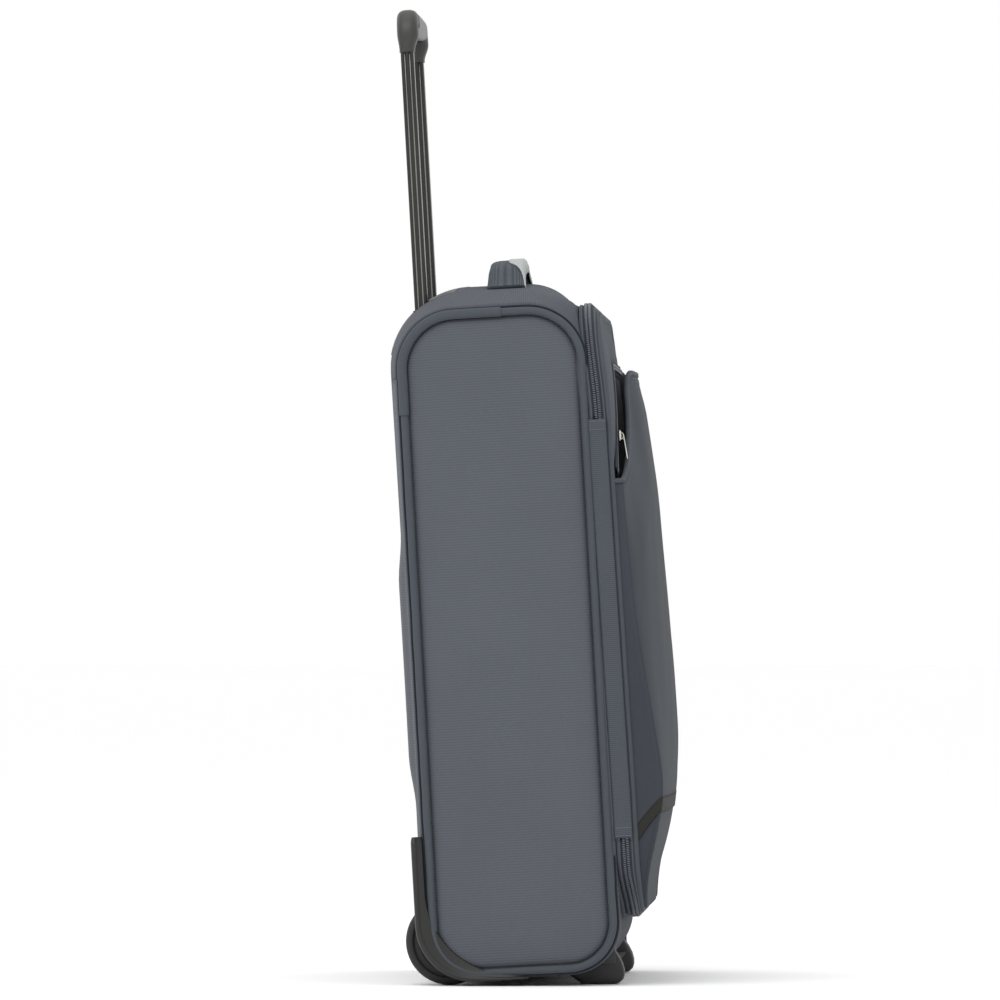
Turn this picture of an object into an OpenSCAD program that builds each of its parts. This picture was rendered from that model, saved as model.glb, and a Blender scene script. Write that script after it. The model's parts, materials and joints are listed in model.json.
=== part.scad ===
// Softside upright suitcase: two wheels, two-stage telescopic handle, fabric-hinged zip lid, front pocket.
//
// Case frame: the origin is on the wheel axle line, half way between the wheels. x runs across the case,
// f runs forward from the axle towards the lid (world -Y) and u runs up along the case.
// The whole case leans back about the axle, because the front feet are longer than the wheels.

/* [Case] */
// Width over the corner guards
case_w = 400; // [380:1:430]
// Depth of the side panels with their piping
case_d = 144; // [138:1:160]
// Height of the side panels with their piping
case_h = 500; // [490:1:520]
// Backward lean of the standing case, in degrees
lean = 3.2; // [2.5:0.1:4]
// Rise of the top panel's crown above the side panels
top_crown = 24; // [16:1:26]
// Bulge of the back panel behind the side panels
back_bulge = 10; // [6:1:11]
// Thickness of the foam-backed fabric panels
panel_t = 3.2; // [2.5:0.1:4]
// Diameter of the corded piping round each side panel
piping_d = 8.5; // [7:0.5:9]

/* [Lid and pocket] */
// Depth of the lid gusset behind its piping
lid_gusset_d = 4.2; // [3.5:0.1:5]
// Diameter of the lid's edge piping
lid_piping_d = 5.5; // [4:0.5:6]
// Height of the pocket's horizontal mouth above the axle
mouth_u = 422; // [400:1:430]
// Height at which the slanted mouth meets the pocket's left edge
mouth_low_u = 330; // [300:1:360]
// Height of the contrasting band across the pocket
band_h = 11; // [8:1:16]

/* [Telescopic handle] */
// Distance between the tube centres
tube_gap = 170; // [150:1:180]
// Depth of the thinnest tube, front to back
tube_d = 10; // [9:0.1:10]
// Width of the thinnest tube
tube_w = 15; // [13:0.1:15]
// Wall of the tubes
tube_t = 1.1; // [0.9:0.1:1.2]
// Sliding gap between one tube and the next
tube_clear = 0.2; // [0.15:0.05:0.3]
// Height of the grip's crest above the axle with the upper stage drawn out
grip_u = 708; // [690:1:720]

/* [Wheels and feet] */
// Radius of the wheels
wheel_r = 33; // [30:0.5:34]
// Width of the tyres
tyre_w = 22; // [18:1:24]
// Distance between the wheel centres
track = 332; // [320:1:334]
// Diameter of the wheel axles
axle_d = 6; // [5:0.5:8]
// Distance between the centres of the feet
foot_gap = 276; // [240:1:290]
// Width of the feet
foot_w = 24; // [18:1:30]

/* [Hidden] */
$fn = 64;
sliver = 0.1;
far = 900;

// Place of the case about the axle
rear_f = -15;
base_u = -29;
front_f = rear_f + case_d;
top_u = base_u + case_h;
axle_y = 60.5;

// Corner radii of the side panels: top rear, top front, bottom front, bottom rear
side_radii = [45, 45, 38, 40];

// The fabric panels end at edge_x; the piping, guards and side cushions lie outside it
edge_x = case_w / 2 - 10;
piping_r = piping_d / 2;
piping_x = edge_x + piping_r;
cord_r = 3;
binding_u = 394;
binding_f = 68;

// Planes of the front opening, going forward
flange_f = 126;
zip_f = 132.1;
zip_t = 2.4;
split_f = zip_f + zip_t;
lid_f = 134.8;
lid_gusset_f = lid_f + zip_t + sliver;
lid_face_f = lid_gusset_f + lid_gusset_d;

// The lid's outline, seen from the front
lid_x = 194;
lid_lo_u = 13;
lid_hi_u = 472;
lid_r = 56;
flange_x = lid_x + 2;
flange_lo_u = lid_lo_u - 2;
shoulder_u = top_u - side_radii[0];
opening_x = 185;
strip_lo_u = 73;
strip_hi_u = 384;

// Telescopic handle
tube_f = 2;
tube_x = tube_gap / 2;
middle_d = tube_d + 2 * (tube_t + tube_clear);
middle_w = tube_w + 2 * (tube_t + tube_clear);
outer_d = middle_d + 2 * (tube_t + tube_clear);
outer_w = middle_w + 2 * (tube_t + tube_clear);
outer_lo_u = -4;
outer_hi_u = 444;
middle_lo_u = 195;
middle_hi_u = 478;
upper_lo_u = 410;
grip_leg_u = grip_u - 33;
upper_hi_u = grip_leg_u + 12;
rod_r = 2;
button_x = 22;
button_f = [tube_f - 5.2, tube_f + 3.9];
button_t = 3.8;
button_well = 7.8;
housing_x = 104;
housing_f = 36;
housing_u = 446;

// Wheels
wheel_x = track / 2;
cavity_r = wheel_r + 4;
cavity_w = tyre_w + 5;
corner_x = 140;
corner_f = 44;
corner_u = 44;
guard_top_u = 80;
guard_front_f = 59;
guard_r = 44;
guard_lo = [-24, -31];
hub_r = 20;
screw_r = 2;
screw_head_r = 4;

// Inside the case
board_f = -11.5;
lining_f = 20;
lining_x = 181.5;
lining_t = 1.2;

// Pocket: it stands on the plane pocket_f; its front follows front_points in (f, u)
pocket_t = 2;
pocket_f = lid_face_f + 6.1;
seam_u = 86;
mouth_x = -70;
left_x = 4 - lid_x;
front_points = [[150, 16], [153, 39], [164.5, 69], [171, 100], [174.8, 138], [174.8, 207],
    [173, 268], [171, mouth_low_u], [163.2, mouth_u - 15], [157.5, mouth_u]];
mouth_angle = atan2(mouth_u - mouth_low_u, mouth_x - left_x);
zip_offset = 8;

// Sliders and pull tabs
slider_l = 12;
slider_w = 9;
slider_t = 2.3;
slider_x = flange_x + 1.3;
slider_upper_u = 282;
slider_lower_u = 255;
pull_t = 1.2;
pull_w = 5;
main_pull_l = 19;
pocket_pull_l = 28;
pocket_pull_tilt = 20;
pocket_slider_place = [-145, 372.8];

// ---------------------------------------------------------------- helpers

// Places the case frame on the ground, leaning back
module leaned() {
    translate([0, axle_y, wheel_r]) rotate([-lean, 0, 0]) children();
}

// Extrudes a shape drawn in (f, u) across the case, from x0 to x1
module across(x0, x1) {
    rotate([90, 0, -90]) translate([0, 0, -x1]) linear_extrude(x1 - x0) children();
}

// Extrudes a shape drawn in (x, u) forward, from f0 to f1
module facing(f0, f1) {
    translate([0, -f0, 0]) rotate([90, 0, 0]) linear_extrude(f1 - f0) children();
}

// A box from its low and high corners in (x, f, u)
module block(lo, hi) {
    translate([lo.x, -hi.y, lo.z]) cube([hi.x - lo.x, hi.y - lo.y, hi.z - lo.z]);
}

module mirrored(side) {
    if (side > 0) children(); else mirror([1, 0, 0]) children();
}

// Points of a quarter circle, anticlockwise from the angle start
function quarter(centre, r, start) = [
    for (k = [0 : 1 : 4 + floor(r / 5)]) centre + r * [cos(start + 90 * k / (4 + floor(r / 5))),
        sin(start + 90 * k / (4 + floor(r / 5)))]];

// Rectangle with four corner radii: low-high, high-high, high-low, low-low
module soft_rect(lo, hi, r) {
    polygon(concat(
        quarter([lo.x + r[3], lo.y + r[3]], r[3], 180),
        quarter([hi.x - r[2], lo.y + r[2]], r[2], 270),
        quarter([hi.x - r[1], hi.y - r[1]], r[1], 0),
        quarter([lo.x + r[0], hi.y - r[0]], r[0], 90)));
}

// Straight round bar between two points of the drawing plane
module bar(p, q, r) {
    translate([p.x, p.y, 0]) rotate([0, 0, atan2(q.y - p.y, q.x - p.x)]) rotate([0, 90, 0])
        cylinder(h = norm(q - p), r = r);
}

// Quarter ring of round bar about a centre
module bend(centre, bend_r, start, r) {
    translate([centre.x, centre.y, 0]) rotate([0, 0, start])
        rotate_extrude(angle = 90) translate([bend_r, 0]) circle(r);
}

// Closed loop of round bar whose centre line is a soft_rect
module bar_loop(lo, hi, radii, r) {
    bar([lo.x, lo.y + radii[3]], [lo.x, hi.y - radii[0]], r);
    bar([lo.x + radii[0], hi.y], [hi.x - radii[1], hi.y], r);
    bar([hi.x, hi.y - radii[1]], [hi.x, lo.y + radii[2]], r);
    bar([hi.x - radii[2], lo.y], [lo.x + radii[3], lo.y], r);
    bend([lo.x + radii[0], hi.y - radii[0]], radii[0], 90, r);
    bend([hi.x - radii[1], hi.y - radii[1]], radii[1], 0, r);
    bend([hi.x - radii[2], lo.y + radii[2]], radii[2], 270, r);
    bend([lo.x + radii[3], lo.y + radii[3]], radii[3], 180, r);
}

// Outline of the side panel in (f, u), drawn in from the piping's outside
module case_outline(inset = 0) {
    soft_rect([rear_f + inset, base_u + inset], [front_f - inset, top_u - inset],
        [for (r = side_radii) r - inset]);
}

// Outline of the lid in (x, u), grown or shrunk
module lid_outline(grow = 0) {
    r = lid_r + grow;
    soft_rect([-lid_x - grow, lid_lo_u - grow], [lid_x + grow, lid_hi_u + grow], [r, r, r, r]);
}

// The crowned body between the side panels, drawn in by inset: slices that swell towards the middle
module crowned_body(inset, reach = edge_x) {
    hull() for (k = [-1, -0.75, -0.45, 0, 0.45, 0.75, 1]) {
        swell = 1 - k * k;
        x = k * reach;
        across(x - (k > 0 ? sliver : 0), x + (k > 0 ? 0 : sliver)) soft_rect(
            [rear_f - back_bulge * swell + inset, base_u - 1.5 * swell + inset],
            [front_f - inset, top_u + top_crown * swell - inset],
            [for (r = side_radii + [16, -10, 0, 0] * swell) r - inset]);
    }
}

module body_wall() {
    difference() {
        crowned_body(0);
        crowned_body(panel_t, edge_x + 1);
    }
}

// The corner that holds a wheel, with some clearance
module wheel_corner(gap = 0) {
    block([corner_x - gap, -far, -far], [edge_x + 1, corner_f + gap, corner_u + gap]);
}

module wheel_corners(gap = 0) {
    for (side = [-1, 1]) mirrored(side) wheel_corner(gap);
}

// ---------------------------------------------------------------- fabric body

// Crescent that wraps the bottom rear corner, in (f, u)
module guard_profile() {
    intersection() {
        difference() {
            soft_rect(guard_lo, [front_f, top_u], [guard_r, guard_r, guard_r, guard_r]);
            soft_rect([rear_f, base_u + 2.5], [front_f + 90, top_u], [66, 66, 66, 66]);
        }
        union() {
            translate([guard_lo.x - 1, guard_lo.y - 1]) square([guard_front_f - guard_lo.x + 1, 30]);
            translate([guard_lo.x - 1, guard_lo.y - 1]) square([30, guard_top_u - guard_lo.y + 1]);
        }
    }
}

module side_panel(side) {
    color([0.38, 0.40, 0.43]) leaned() mirrored(side) difference() {
        union() {
            across(edge_x - 4, edge_x - sliver) case_outline(panel_t + sliver);
            across(edge_x - 1, edge_x + 6.5) case_outline(piping_d + sliver);
        }
        across(edge_x - sliver, edge_x + 12) guard_profile();
        block([corner_x, -far, -far], [edge_x - sliver / 2, corner_f + sliver, corner_u + sliver]);
    }
}

module side_panel_left() side_panel(-1);
module side_panel_right() side_panel(1);

module back_panel() {
    color([0.37, 0.39, 0.42]) leaned() difference() {
        intersection() {
            body_wall();
            block([-edge_x, -40, flange_lo_u], [edge_x, 60, shoulder_u]);
        }
        wheel_corners(sliver);
    }
}

module top_panel() {
    color([0.37, 0.39, 0.42]) leaned() difference() {
        intersection() {
            body_wall();
            block([-edge_x, -40, shoulder_u], [edge_x, flange_f - sliver, top_u + 40]);
        }
        block([-housing_x - sliver, -40, housing_u - sliver],
            [housing_x + sliver, housing_f + sliver, top_u + 40]);
    }
}

module bottom_panel() {
    color([0.33, 0.35, 0.38]) leaned() difference() {
        intersection() {
            body_wall();
            block([-edge_x, -40, base_u - 10], [edge_x, front_f + 1, flange_lo_u - sliver]);
        }
        wheel_corners(sliver);
        foot_screw_pair(screw_r + sliver, screw_head_r + sliver);
    }
}

// Stiff fabric frame round the front opening, with a channel for the frame wire
module front_flange() {
    color([0.34, 0.36, 0.39]) leaned() difference() {
        facing(flange_f, zip_f) lid_outline(2);
        facing(flange_f - 1, zip_f + 1) lid_outline(opening_x - lid_x);
        wire_loop(1.6);
        for (side = [-1, 1]) mirrored(side) {
            across(edge_x - sliver, far) intersection() {
                case_outline(-sliver);
                translate([flange_f - 1, base_u - 1]) square([front_f - flange_f + 1.1, case_h + 2]);
            }
        }
    }
}

module wire_loop(r) {
    inset = 8;
    bend_r = lid_r + 2 - inset;
    translate([0, -(flange_f + zip_f) / 2, 0]) rotate([90, 0, 0]) bar_loop(
        [inset - flange_x, lid_lo_u - 2 + inset], [flange_x - inset, lid_hi_u + 2 - inset],
        [bend_r, bend_r, bend_r, bend_r], r);
}

module frame_wire() {
    color([0.6, 0.6, 0.62]) leaned() wire_loop(1.5);
}

// Centre line of the piping, in (f, u), turned into place
module piping_loop(r) {
    translate([piping_x, 0, 0]) rotate([90, 0, -90]) bar_loop(
        [rear_f + piping_r, base_u + piping_r], [front_f - piping_r, top_u - piping_r],
        [for (c = side_radii) c - piping_r], r);
}

// The stretch of piping that the corner binding covers
module binding_zone() {
    block([edge_x - 2, rear_f - 5, binding_u], [edge_x + 14, binding_f, top_u + 5]);
}

module piping(side) {
    color([0.36, 0.38, 0.42]) leaned() mirrored(side) {
        difference() {
            piping_loop(piping_r);
            binding_zone();
            across(edge_x - 1, edge_x + 12) guard_profile();
        }
        intersection() {
            piping_loop(cord_r);
            binding_zone();
        }
    }
}

module piping_left() piping(-1);
module piping_right() piping(1);

module corner_binding(side) {
    color([0.33, 0.36, 0.40]) leaned() mirrored(side) intersection() {
        difference() {
            piping_loop(piping_r);
            piping_loop(cord_r + 0.05);
        }
        block([edge_x, rear_f - 5, binding_u + sliver],
            [edge_x + 14, binding_f - sliver, top_u + 5]);
    }
}

module corner_binding_left() corner_binding(-1);
module corner_binding_right() corner_binding(1);

// ---------------------------------------------------------------- inside the case

module back_board() {
    color([0.2, 0.2, 0.2]) leaned() facing(board_f, board_f + 2)
        soft_rect([-165, 52], [165, 415], [20, 20, 20, 20]);
}

// Inside of the case, drawn in; the box sewn round the packing space
module lining_space(inset) {
    intersection() {
        facing(lining_f + inset, flange_f - 1.5) soft_rect([inset - lining_x, base_u + 5 + inset],
            [lining_x - inset, top_u - 7 - inset], [for (k = [0 : 3]) 30 - inset]);
        across(-lining_x - 1, lining_x + 1) case_outline(5 + inset);
    }
}

module lining_box() {
    difference() {
        lining_space(0);
        lining_space(lining_t);
        facing(lining_f + 60, front_f) lid_outline(opening_x - lid_x - 4);
        wheel_corners(2);
    }
}

// Sheet in front of the tubes, with the rest of the box sewn to its edge
module lining_back() {
    color([0.12, 0.12, 0.13]) leaned() intersection() {
        lining_box();
        block([-far, 0, -far], [far, lining_f + lining_t, far]);
    }
}

module lining_walls() {
    color([0.12, 0.12, 0.13]) leaned() intersection() {
        lining_box();
        block([-far, lining_f + lining_t + sliver, -far], [far, far, far]);
    }
}

// Two straps that meet in a buckle in front of the back sheet
module packing_straps() {
    color([0.1, 0.1, 0.1]) leaned() {
        for (side = [-1, 1]) mirrored(side) block([28, lining_f + lining_t + sliver, 205],
            [lining_x - lining_t - sliver, lining_f + 2.8, 230]);
        facing(lining_f + lining_t + sliver, lining_f + 6)
            soft_rect([-27.9, 202], [27.9, 233], [5, 5, 5, 5]);
    }
}

// ---------------------------------------------------------------- telescopic handle

// Rectangular tube or bar standing at one side, from u0 to u1
module tube_bar(side, w, d, u0, u1) {
    block([side * tube_x - w / 2, tube_f - d / 2, u0], [side * tube_x + w / 2, tube_f + d / 2, u1]);
}

module tube(side, w, d, u0, u1) {
    color([0.06, 0.06, 0.06]) leaned() difference() {
        tube_bar(side, w, d, u0, u1);
        tube_bar(side, w - 2 * tube_t, d - 2 * tube_t, u0 - 1, u1 + 1);
    }
}

module outer_tube_left() tube(-1, outer_w, outer_d, outer_lo_u, outer_hi_u);
module outer_tube_right() tube(1, outer_w, outer_d, outer_lo_u, outer_hi_u);
module middle_tube_left() tube(-1, middle_w, middle_d, middle_lo_u, middle_hi_u);
module middle_tube_right() tube(1, middle_w, middle_d, middle_lo_u, middle_hi_u);
module upper_tube_left() tube(-1, tube_w, tube_d, upper_lo_u, upper_hi_u);
module upper_tube_right() tube(1, tube_w, tube_d, upper_lo_u, upper_hi_u);

// Plug with a shoulder that closes the lower end of a tube
module lock_block(side, w, d, end_u) {
    tube_bar(side, w, d, end_u - 12, end_u - sliver);
    tube_bar(side, w - 2 * tube_t - 0.2, d - 2 * tube_t - 0.2, end_u - 1, end_u + 10);
}

module middle_lock_blocks() {
    color([0.15, 0.15, 0.15]) leaned() for (side = [-1, 1])
        lock_block(side, middle_w, middle_d, middle_lo_u);
}

module upper_lock_blocks() {
    color([0.15, 0.15, 0.15]) leaned() for (side = [-1, 1])
        lock_block(side, tube_w, tube_d, upper_lo_u);
}

// Bezel on the top rear corner with a bar that guides the middle tubes
module tube_housing() {
    color([0.05, 0.05, 0.05]) leaned() difference() {
        union() {
            intersection() {
                difference() {
                    crowned_body(-1.2);
                    crowned_body(panel_t);
                }
                block([-housing_x, -40, housing_u], [housing_x, housing_f, top_u + 40]);
            }
            intersection() {
                crowned_body(0.5);
                block([-97, -40, housing_u], [97, tube_f + 12, housing_u + 12]);
            }
        }
        for (side = [-1, 1]) tube_bar(side, middle_w + 0.5, middle_d + 0.5, housing_u - 10, top_u + 50);
    }
}

module handle_base() {
    color([0.07, 0.07, 0.07]) leaned() difference() {
        block([-98, tube_f - 10, -15], [98, tube_f + 12.5, 4]);
        for (side = [-1, 1]) tube_bar(side, outer_w + 0.1, outer_d + 0.1, outer_lo_u - 0.05, 10);
    }
}

// Outside of the grip's bar, in (f, u)
module grip_outline(inset = 0) {
    soft_rect([tube_f - 7 + inset, grip_u - 17 + inset], [tube_f + 9.5 - inset, grip_u - inset],
        [for (r = [7, 7, 5, 5]) r - inset]);
}

module grip_cover_zone(gap = 0) {
    block([-70 - gap, tube_f + 4.5 - gap, grip_u - 20],
        [70 + gap, tube_f + 15.5, grip_u - 6 + gap]);
}

module grip_shell() {
    color([0.1, 0.1, 0.1]) leaned() difference() {
        union() {
            across(-tube_x - 9.5, tube_x + 9.5) grip_outline();
            for (side = [-1, 1]) tube_bar(side, 19, 14, grip_leg_u, grip_u - 10);
        }
        for (side = [-1, 1]) tube_bar(side, tube_w + 0.1, tube_d + 0.1, grip_leg_u - 1, upper_hi_u + 0.1);
        block([-tube_x - 4, tube_f - 3, upper_hi_u], [tube_x + 4, tube_f + 3, grip_u - 11]);
        block([-6.5, tube_f - 3, grip_u - 12], [6.5, tube_f + 3, grip_u - button_well + sliver]);
        block([-button_x - 0.3, button_f[0] - 0.3, grip_u - button_well],
            [button_x + 0.3, button_f[1] + 0.3, grip_u + 1]);
        grip_cover_zone(0.1);
    }
}

module grip_cover() {
    color([0.5, 0.5, 0.5]) leaned() intersection() {
        across(-edge_x, edge_x) grip_outline();
        grip_cover_zone();
    }
}

module grip_button() {
    color([0.2, 0.2, 0.2]) leaned() union() {
        facing(button_f[0], button_f[1])
            soft_rect([-button_x, grip_u - button_t], [button_x, grip_u + 0.3], [1.5, 1.5, 1, 1]);
        block([-6, tube_f - 2.5, grip_u - 11.5], [6, tube_f + 2.5, grip_u - button_t + sliver]);
    }
}

module push_rods() {
    color([0.6, 0.6, 0.6]) leaned() {
        block([-tube_x - 3.5, tube_f - 2.3, grip_u - 16],
            [tube_x + 3.5, tube_f + 2.3, grip_u - 11.6]);
        for (side = [-1, 1]) translate([side * tube_x, -tube_f, upper_lo_u + 15])
            cylinder(h = grip_u - upper_lo_u - 30, r = rod_r);
    }
}

// ---------------------------------------------------------------- wheels, guards and feet

module corner_guard(side) {
    color([0.05, 0.05, 0.05]) leaned() mirrored(side) across(edge_x, case_w / 2) guard_profile();
}

module corner_guard_left() corner_guard(-1);
module corner_guard_right() corner_guard(1);

module wheel_housing(side) {
    color([0.06, 0.06, 0.06]) leaned() mirrored(side) difference() {
        across(corner_x, edge_x - sliver / 2) intersection() {
            soft_rect(guard_lo, [front_f, top_u], [guard_r, guard_r, guard_r, guard_r]);
            translate(guard_lo - [1, 1]) square([corner_f - guard_lo.x + 1, corner_u - guard_lo.y + 1]);
        }
        across(wheel_x - cavity_w / 2, wheel_x + cavity_w / 2) circle(cavity_r, $fn = 128);
        across(corner_x + 2.9, edge_x - 2.9) circle(axle_d / 2 + 0.02);
    }
}

module wheel_housing_left() wheel_housing(-1);
module wheel_housing_right() wheel_housing(1);

module wheel_axles() {
    color([0.7, 0.7, 0.7]) leaned() for (side = [-1, 1]) mirrored(side)
        across(corner_x + 3, edge_x - 3) circle(axle_d / 2);
}

module hub(side) {
    color([0.1, 0.1, 0.1]) leaned() mirrored(side) difference() {
        across(wheel_x - tyre_w / 2 + 1, wheel_x + tyre_w / 2 - 1) circle(hub_r);
        across(wheel_x - tyre_w, wheel_x + tyre_w) circle(axle_d / 2 + 0.05);
        for (end = [-1, 1]) across(wheel_x + end * tyre_w / 2 - 5, wheel_x + end * tyre_w / 2 + 5)
            difference() {
                circle(hub_r - 3);
                circle(8);
            }
    }
}

module hub_left() hub(-1);
module hub_right() hub(1);

module tyre(side) {
    color([0.04, 0.04, 0.04]) leaned() mirrored(side) translate([wheel_x, 0, 0]) rotate([0, 90, 0])
        rotate_extrude($fn = 96) soft_rect([hub_r, -tyre_w / 2], [wheel_r, tyre_w / 2], [1, 6, 6, 1]);
}

module tyre_left() tyre(-1);
module tyre_right() tyre(1);

// Fin under the bottom front corner; its sole is level with the ground
module foot(side) {
    color([0.05, 0.05, 0.05]) difference() {
        leaned() mirrored(side) across(foot_gap / 2 - foot_w / 2, foot_gap / 2 + foot_w / 2)
            difference() {
                intersection() {
                    polygon([[84, 0], [84, -29], [97, -38], [99, -45], [134, -45], [134, 0]]);
                    translate([91, -38]) circle(39);
                }
                case_outline(-1);
            }
        leaned() foot_screw_pair(screw_r, screw_head_r);
        translate([-far, -far, -far]) cube([2 * far, 2 * far, far]);
    }
}

module foot_left() foot(-1);
module foot_right() foot(1);

module foot_screw_pair(r, head_r) {
    for (side = [-1, 1]) translate([side * foot_gap / 2, -104, base_u - 5]) {
        cylinder(h = 9, r = r);
        translate([0, 0, 8.9]) cylinder(h = 2.5, r = head_r);
    }
}

module foot_screws() {
    color([0.7, 0.7, 0.7]) leaned() foot_screw_pair(screw_r, screw_head_r);
}

// ---------------------------------------------------------------- handle, zip and hinge

module carry_handle() {
    arch_r = 302;
    color([0.34, 0.36, 0.40]) leaned() facing(53, 82) intersection() {
        translate([0, top_u + top_crown + 10 - arch_r]) difference() {
            circle(arch_r + 9, $fn = 256);
            circle(arch_r, $fn = 256);
        }
        translate([-97, top_u]) square([194, 60]);
    }
}

// One half of the main zip: a band round the opening, left out along the fabric hinge
module zip_band(f0) {
    facing(f0, f0 + zip_t) difference() {
        lid_outline(3);
        lid_outline(-3);
        translate([-lid_x - 10, strip_lo_u]) square([20, strip_hi_u - strip_lo_u]);
    }
}

module body_zip() {
    color([0.1, 0.11, 0.13]) leaned() zip_band(zip_f);
}

module hinge_strip() {
    color([0.36, 0.38, 0.41]) leaned()
        block([-lid_x - 5, flange_f + 4, strip_lo_u], [-lid_x - 2.2, lid_face_f, strip_hi_u]);
}

// ---------------------------------------------------------------- lid and pocket

module lid_zip() {
    color([0.1, 0.11, 0.13]) leaned() zip_band(lid_f);
}

module lid_gusset() {
    color([0.35, 0.37, 0.40]) leaned() facing(lid_gusset_f, lid_face_f) difference() {
        lid_outline(0);
        lid_outline(-2.5);
    }
}

module lid_piping() {
    inset = lid_piping_d / 2;
    bend_r = lid_r - inset;
    color([0.32, 0.34, 0.38]) leaned() translate([0, -lid_face_f - inset, 0]) rotate([90, 0, 0])
        bar_loop([inset - lid_x, lid_lo_u + inset], [lid_x - inset, lid_hi_u - inset],
            [for (k = [0 : 3]) bend_r], inset);
}

module lid_panel() {
    color([0.35, 0.37, 0.40]) leaned() hull() {
        facing(lid_face_f, lid_face_f + 2) lid_outline(-lid_piping_d - sliver);
        facing(lid_face_f, lid_face_f + 6) lid_outline(-40);
    }
}

module lid_lining() {
    color([0.12, 0.12, 0.13]) leaned() facing(lid_gusset_f + 1, lid_gusset_f + 2.2) lid_outline(-2.6);
}

// Front of the pocket, drawn back by inset, in (f, u)
module pocket_outline(inset) {
    polygon(concat([for (p = front_points) [p.x - inset, p.y]],
        [[pocket_f, mouth_u], [pocket_f, front_points[0].y]]));
}

// What lies above the slanted and level mouth, in (x, u)
module above_mouth() {
    polygon([[left_x - 10, mouth_low_u - 10 * tan(mouth_angle)], [mouth_x, mouth_u],
        [far, mouth_u], [far, far], [left_x - 10, far]]);
}

module pocket_front(lo_u, hi_u) {
    intersection() {
        across(left_x, -left_x) difference() {
            pocket_outline(0);
            translate([-pocket_t, 0]) pocket_outline(0);
        }
        facing(pocket_f, lid_face_f + 60) difference() {
            lid_outline(-4);
            above_mouth();
        }
        block([-far, 0, lo_u], [far, far, hi_u]);
    }
}

module pocket_panel() {
    color([0.33, 0.35, 0.39]) leaned() pocket_front(seam_u + band_h + sliver, mouth_u + 1);
}

module black_band() {
    color([0.08, 0.08, 0.08]) leaned() pocket_front(seam_u + sliver, seam_u + band_h);
}

module lower_panel() {
    color([0.33, 0.35, 0.39]) leaned() pocket_front(0, seam_u);
}

module pocket_sides() {
    color([0.31, 0.33, 0.37]) leaned() intersection() {
        across(left_x, -left_x) pocket_outline(pocket_t + sliver);
        facing(pocket_f, lid_face_f + 60) difference() {
            lid_outline(-4);
            lid_outline(-6);
            above_mouth();
        }
    }
}

// Strip along the slanted mouth and its level stretch
module pocket_zip() {
    color([0.08, 0.09, 0.1]) leaned() facing(pocket_f, pocket_f + 1.5) {
        translate([mouth_x, mouth_u]) rotate(mouth_angle)
            translate([-138, zip_offset - 4.5]) square([138, 9]);
        translate([mouth_x - 5.5, mouth_u + zip_offset - 4.5]) square([-left_x - 8 - mouth_x, 9]);
    }
}

// ---------------------------------------------------------------- sliders and pull tabs

module main_slider(u) {
    color([0.2, 0.2, 0.2]) leaned() translate([slider_x, 0, 0]) rotate([90, 0, 90])
        linear_extrude(slider_t) translate([-split_f, u]) square([slider_w, slider_l], center = true);
}

module main_slider_upper() main_slider(slider_upper_u);
module main_slider_lower() main_slider(slider_lower_u);

// Tab that hangs from a pin along f; the pin's line runs through its round end
module main_pull(u) {
    color([0.6, 0.6, 0.62]) leaned() translate([slider_x + slider_t + 0.3 + pull_t / 2, -split_f, u]) {
        rotate([90, 0, 0]) cylinder(h = pull_w, r = pull_t / 2, center = true);
        translate([-pull_t / 2, -pull_w / 2, -main_pull_l]) cube([pull_t, pull_w, main_pull_l]);
    }
}

module main_pull_upper() main_pull(slider_upper_u);
module main_pull_lower() main_pull(slider_lower_u);

// The slanted zip's own directions: first along the zip, then towards the front, then away from the pocket
module on_pocket_zip() {
    translate([pocket_slider_place.x, -pocket_f - 1.8, pocket_slider_place.y])
        rotate([0, -mouth_angle, 0]) children();
}

module pocket_slider() {
    color([0.7, 0.7, 0.7]) leaned() on_pocket_zip()
        translate([-slider_l / 2, -3, -slider_w / 2]) cube([slider_l, 3, slider_w]);
}

module pocket_pull() {
    color([0.6, 0.6, 0.6]) leaned() on_pocket_zip() translate([0, -3.5 - pull_t / 2, 0])
        rotate([0, 0, pocket_pull_tilt]) {
            cylinder(h = pull_w, r = pull_t / 2, center = true);
            translate([-pocket_pull_l, -pull_t / 2, -pull_w / 2]) cube([pocket_pull_l, pull_t, pull_w]);
        }
}

side_panel_left();
side_panel_right();
back_panel();
top_panel();
bottom_panel();
front_flange();
piping_left();
piping_right();
corner_binding_left();
corner_binding_right();
frame_wire();
back_board();
lining_back();
lining_walls();
packing_straps();
outer_tube_left();
outer_tube_right();
tube_housing();
handle_base();
corner_guard_left();
corner_guard_right();
wheel_housing_left();
wheel_housing_right();
wheel_axles();
foot_left();
foot_right();
foot_screws();
carry_handle();
body_zip();
hinge_strip();
middle_tube_left();
middle_tube_right();
middle_lock_blocks();
upper_tube_left();
upper_tube_right();
upper_lock_blocks();
grip_shell();
grip_cover();
grip_button();
push_rods();
tyre_left();
tyre_right();
hub_left();
hub_right();
lid_gusset();
lid_panel();
lid_piping();
lid_zip();
lid_lining();
pocket_panel();
pocket_sides();
black_band();
lower_panel();
pocket_zip();
main_slider_upper();
main_slider_lower();
main_pull_upper();
main_pull_lower();
pocket_slider();
pocket_pull();
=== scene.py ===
"""Looks of a softside upright suitcase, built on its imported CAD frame.

Case frame: x runs across the case, f forward from the wheel axle and u up along the leaning case, in metres.
"""
import json
import math

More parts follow.
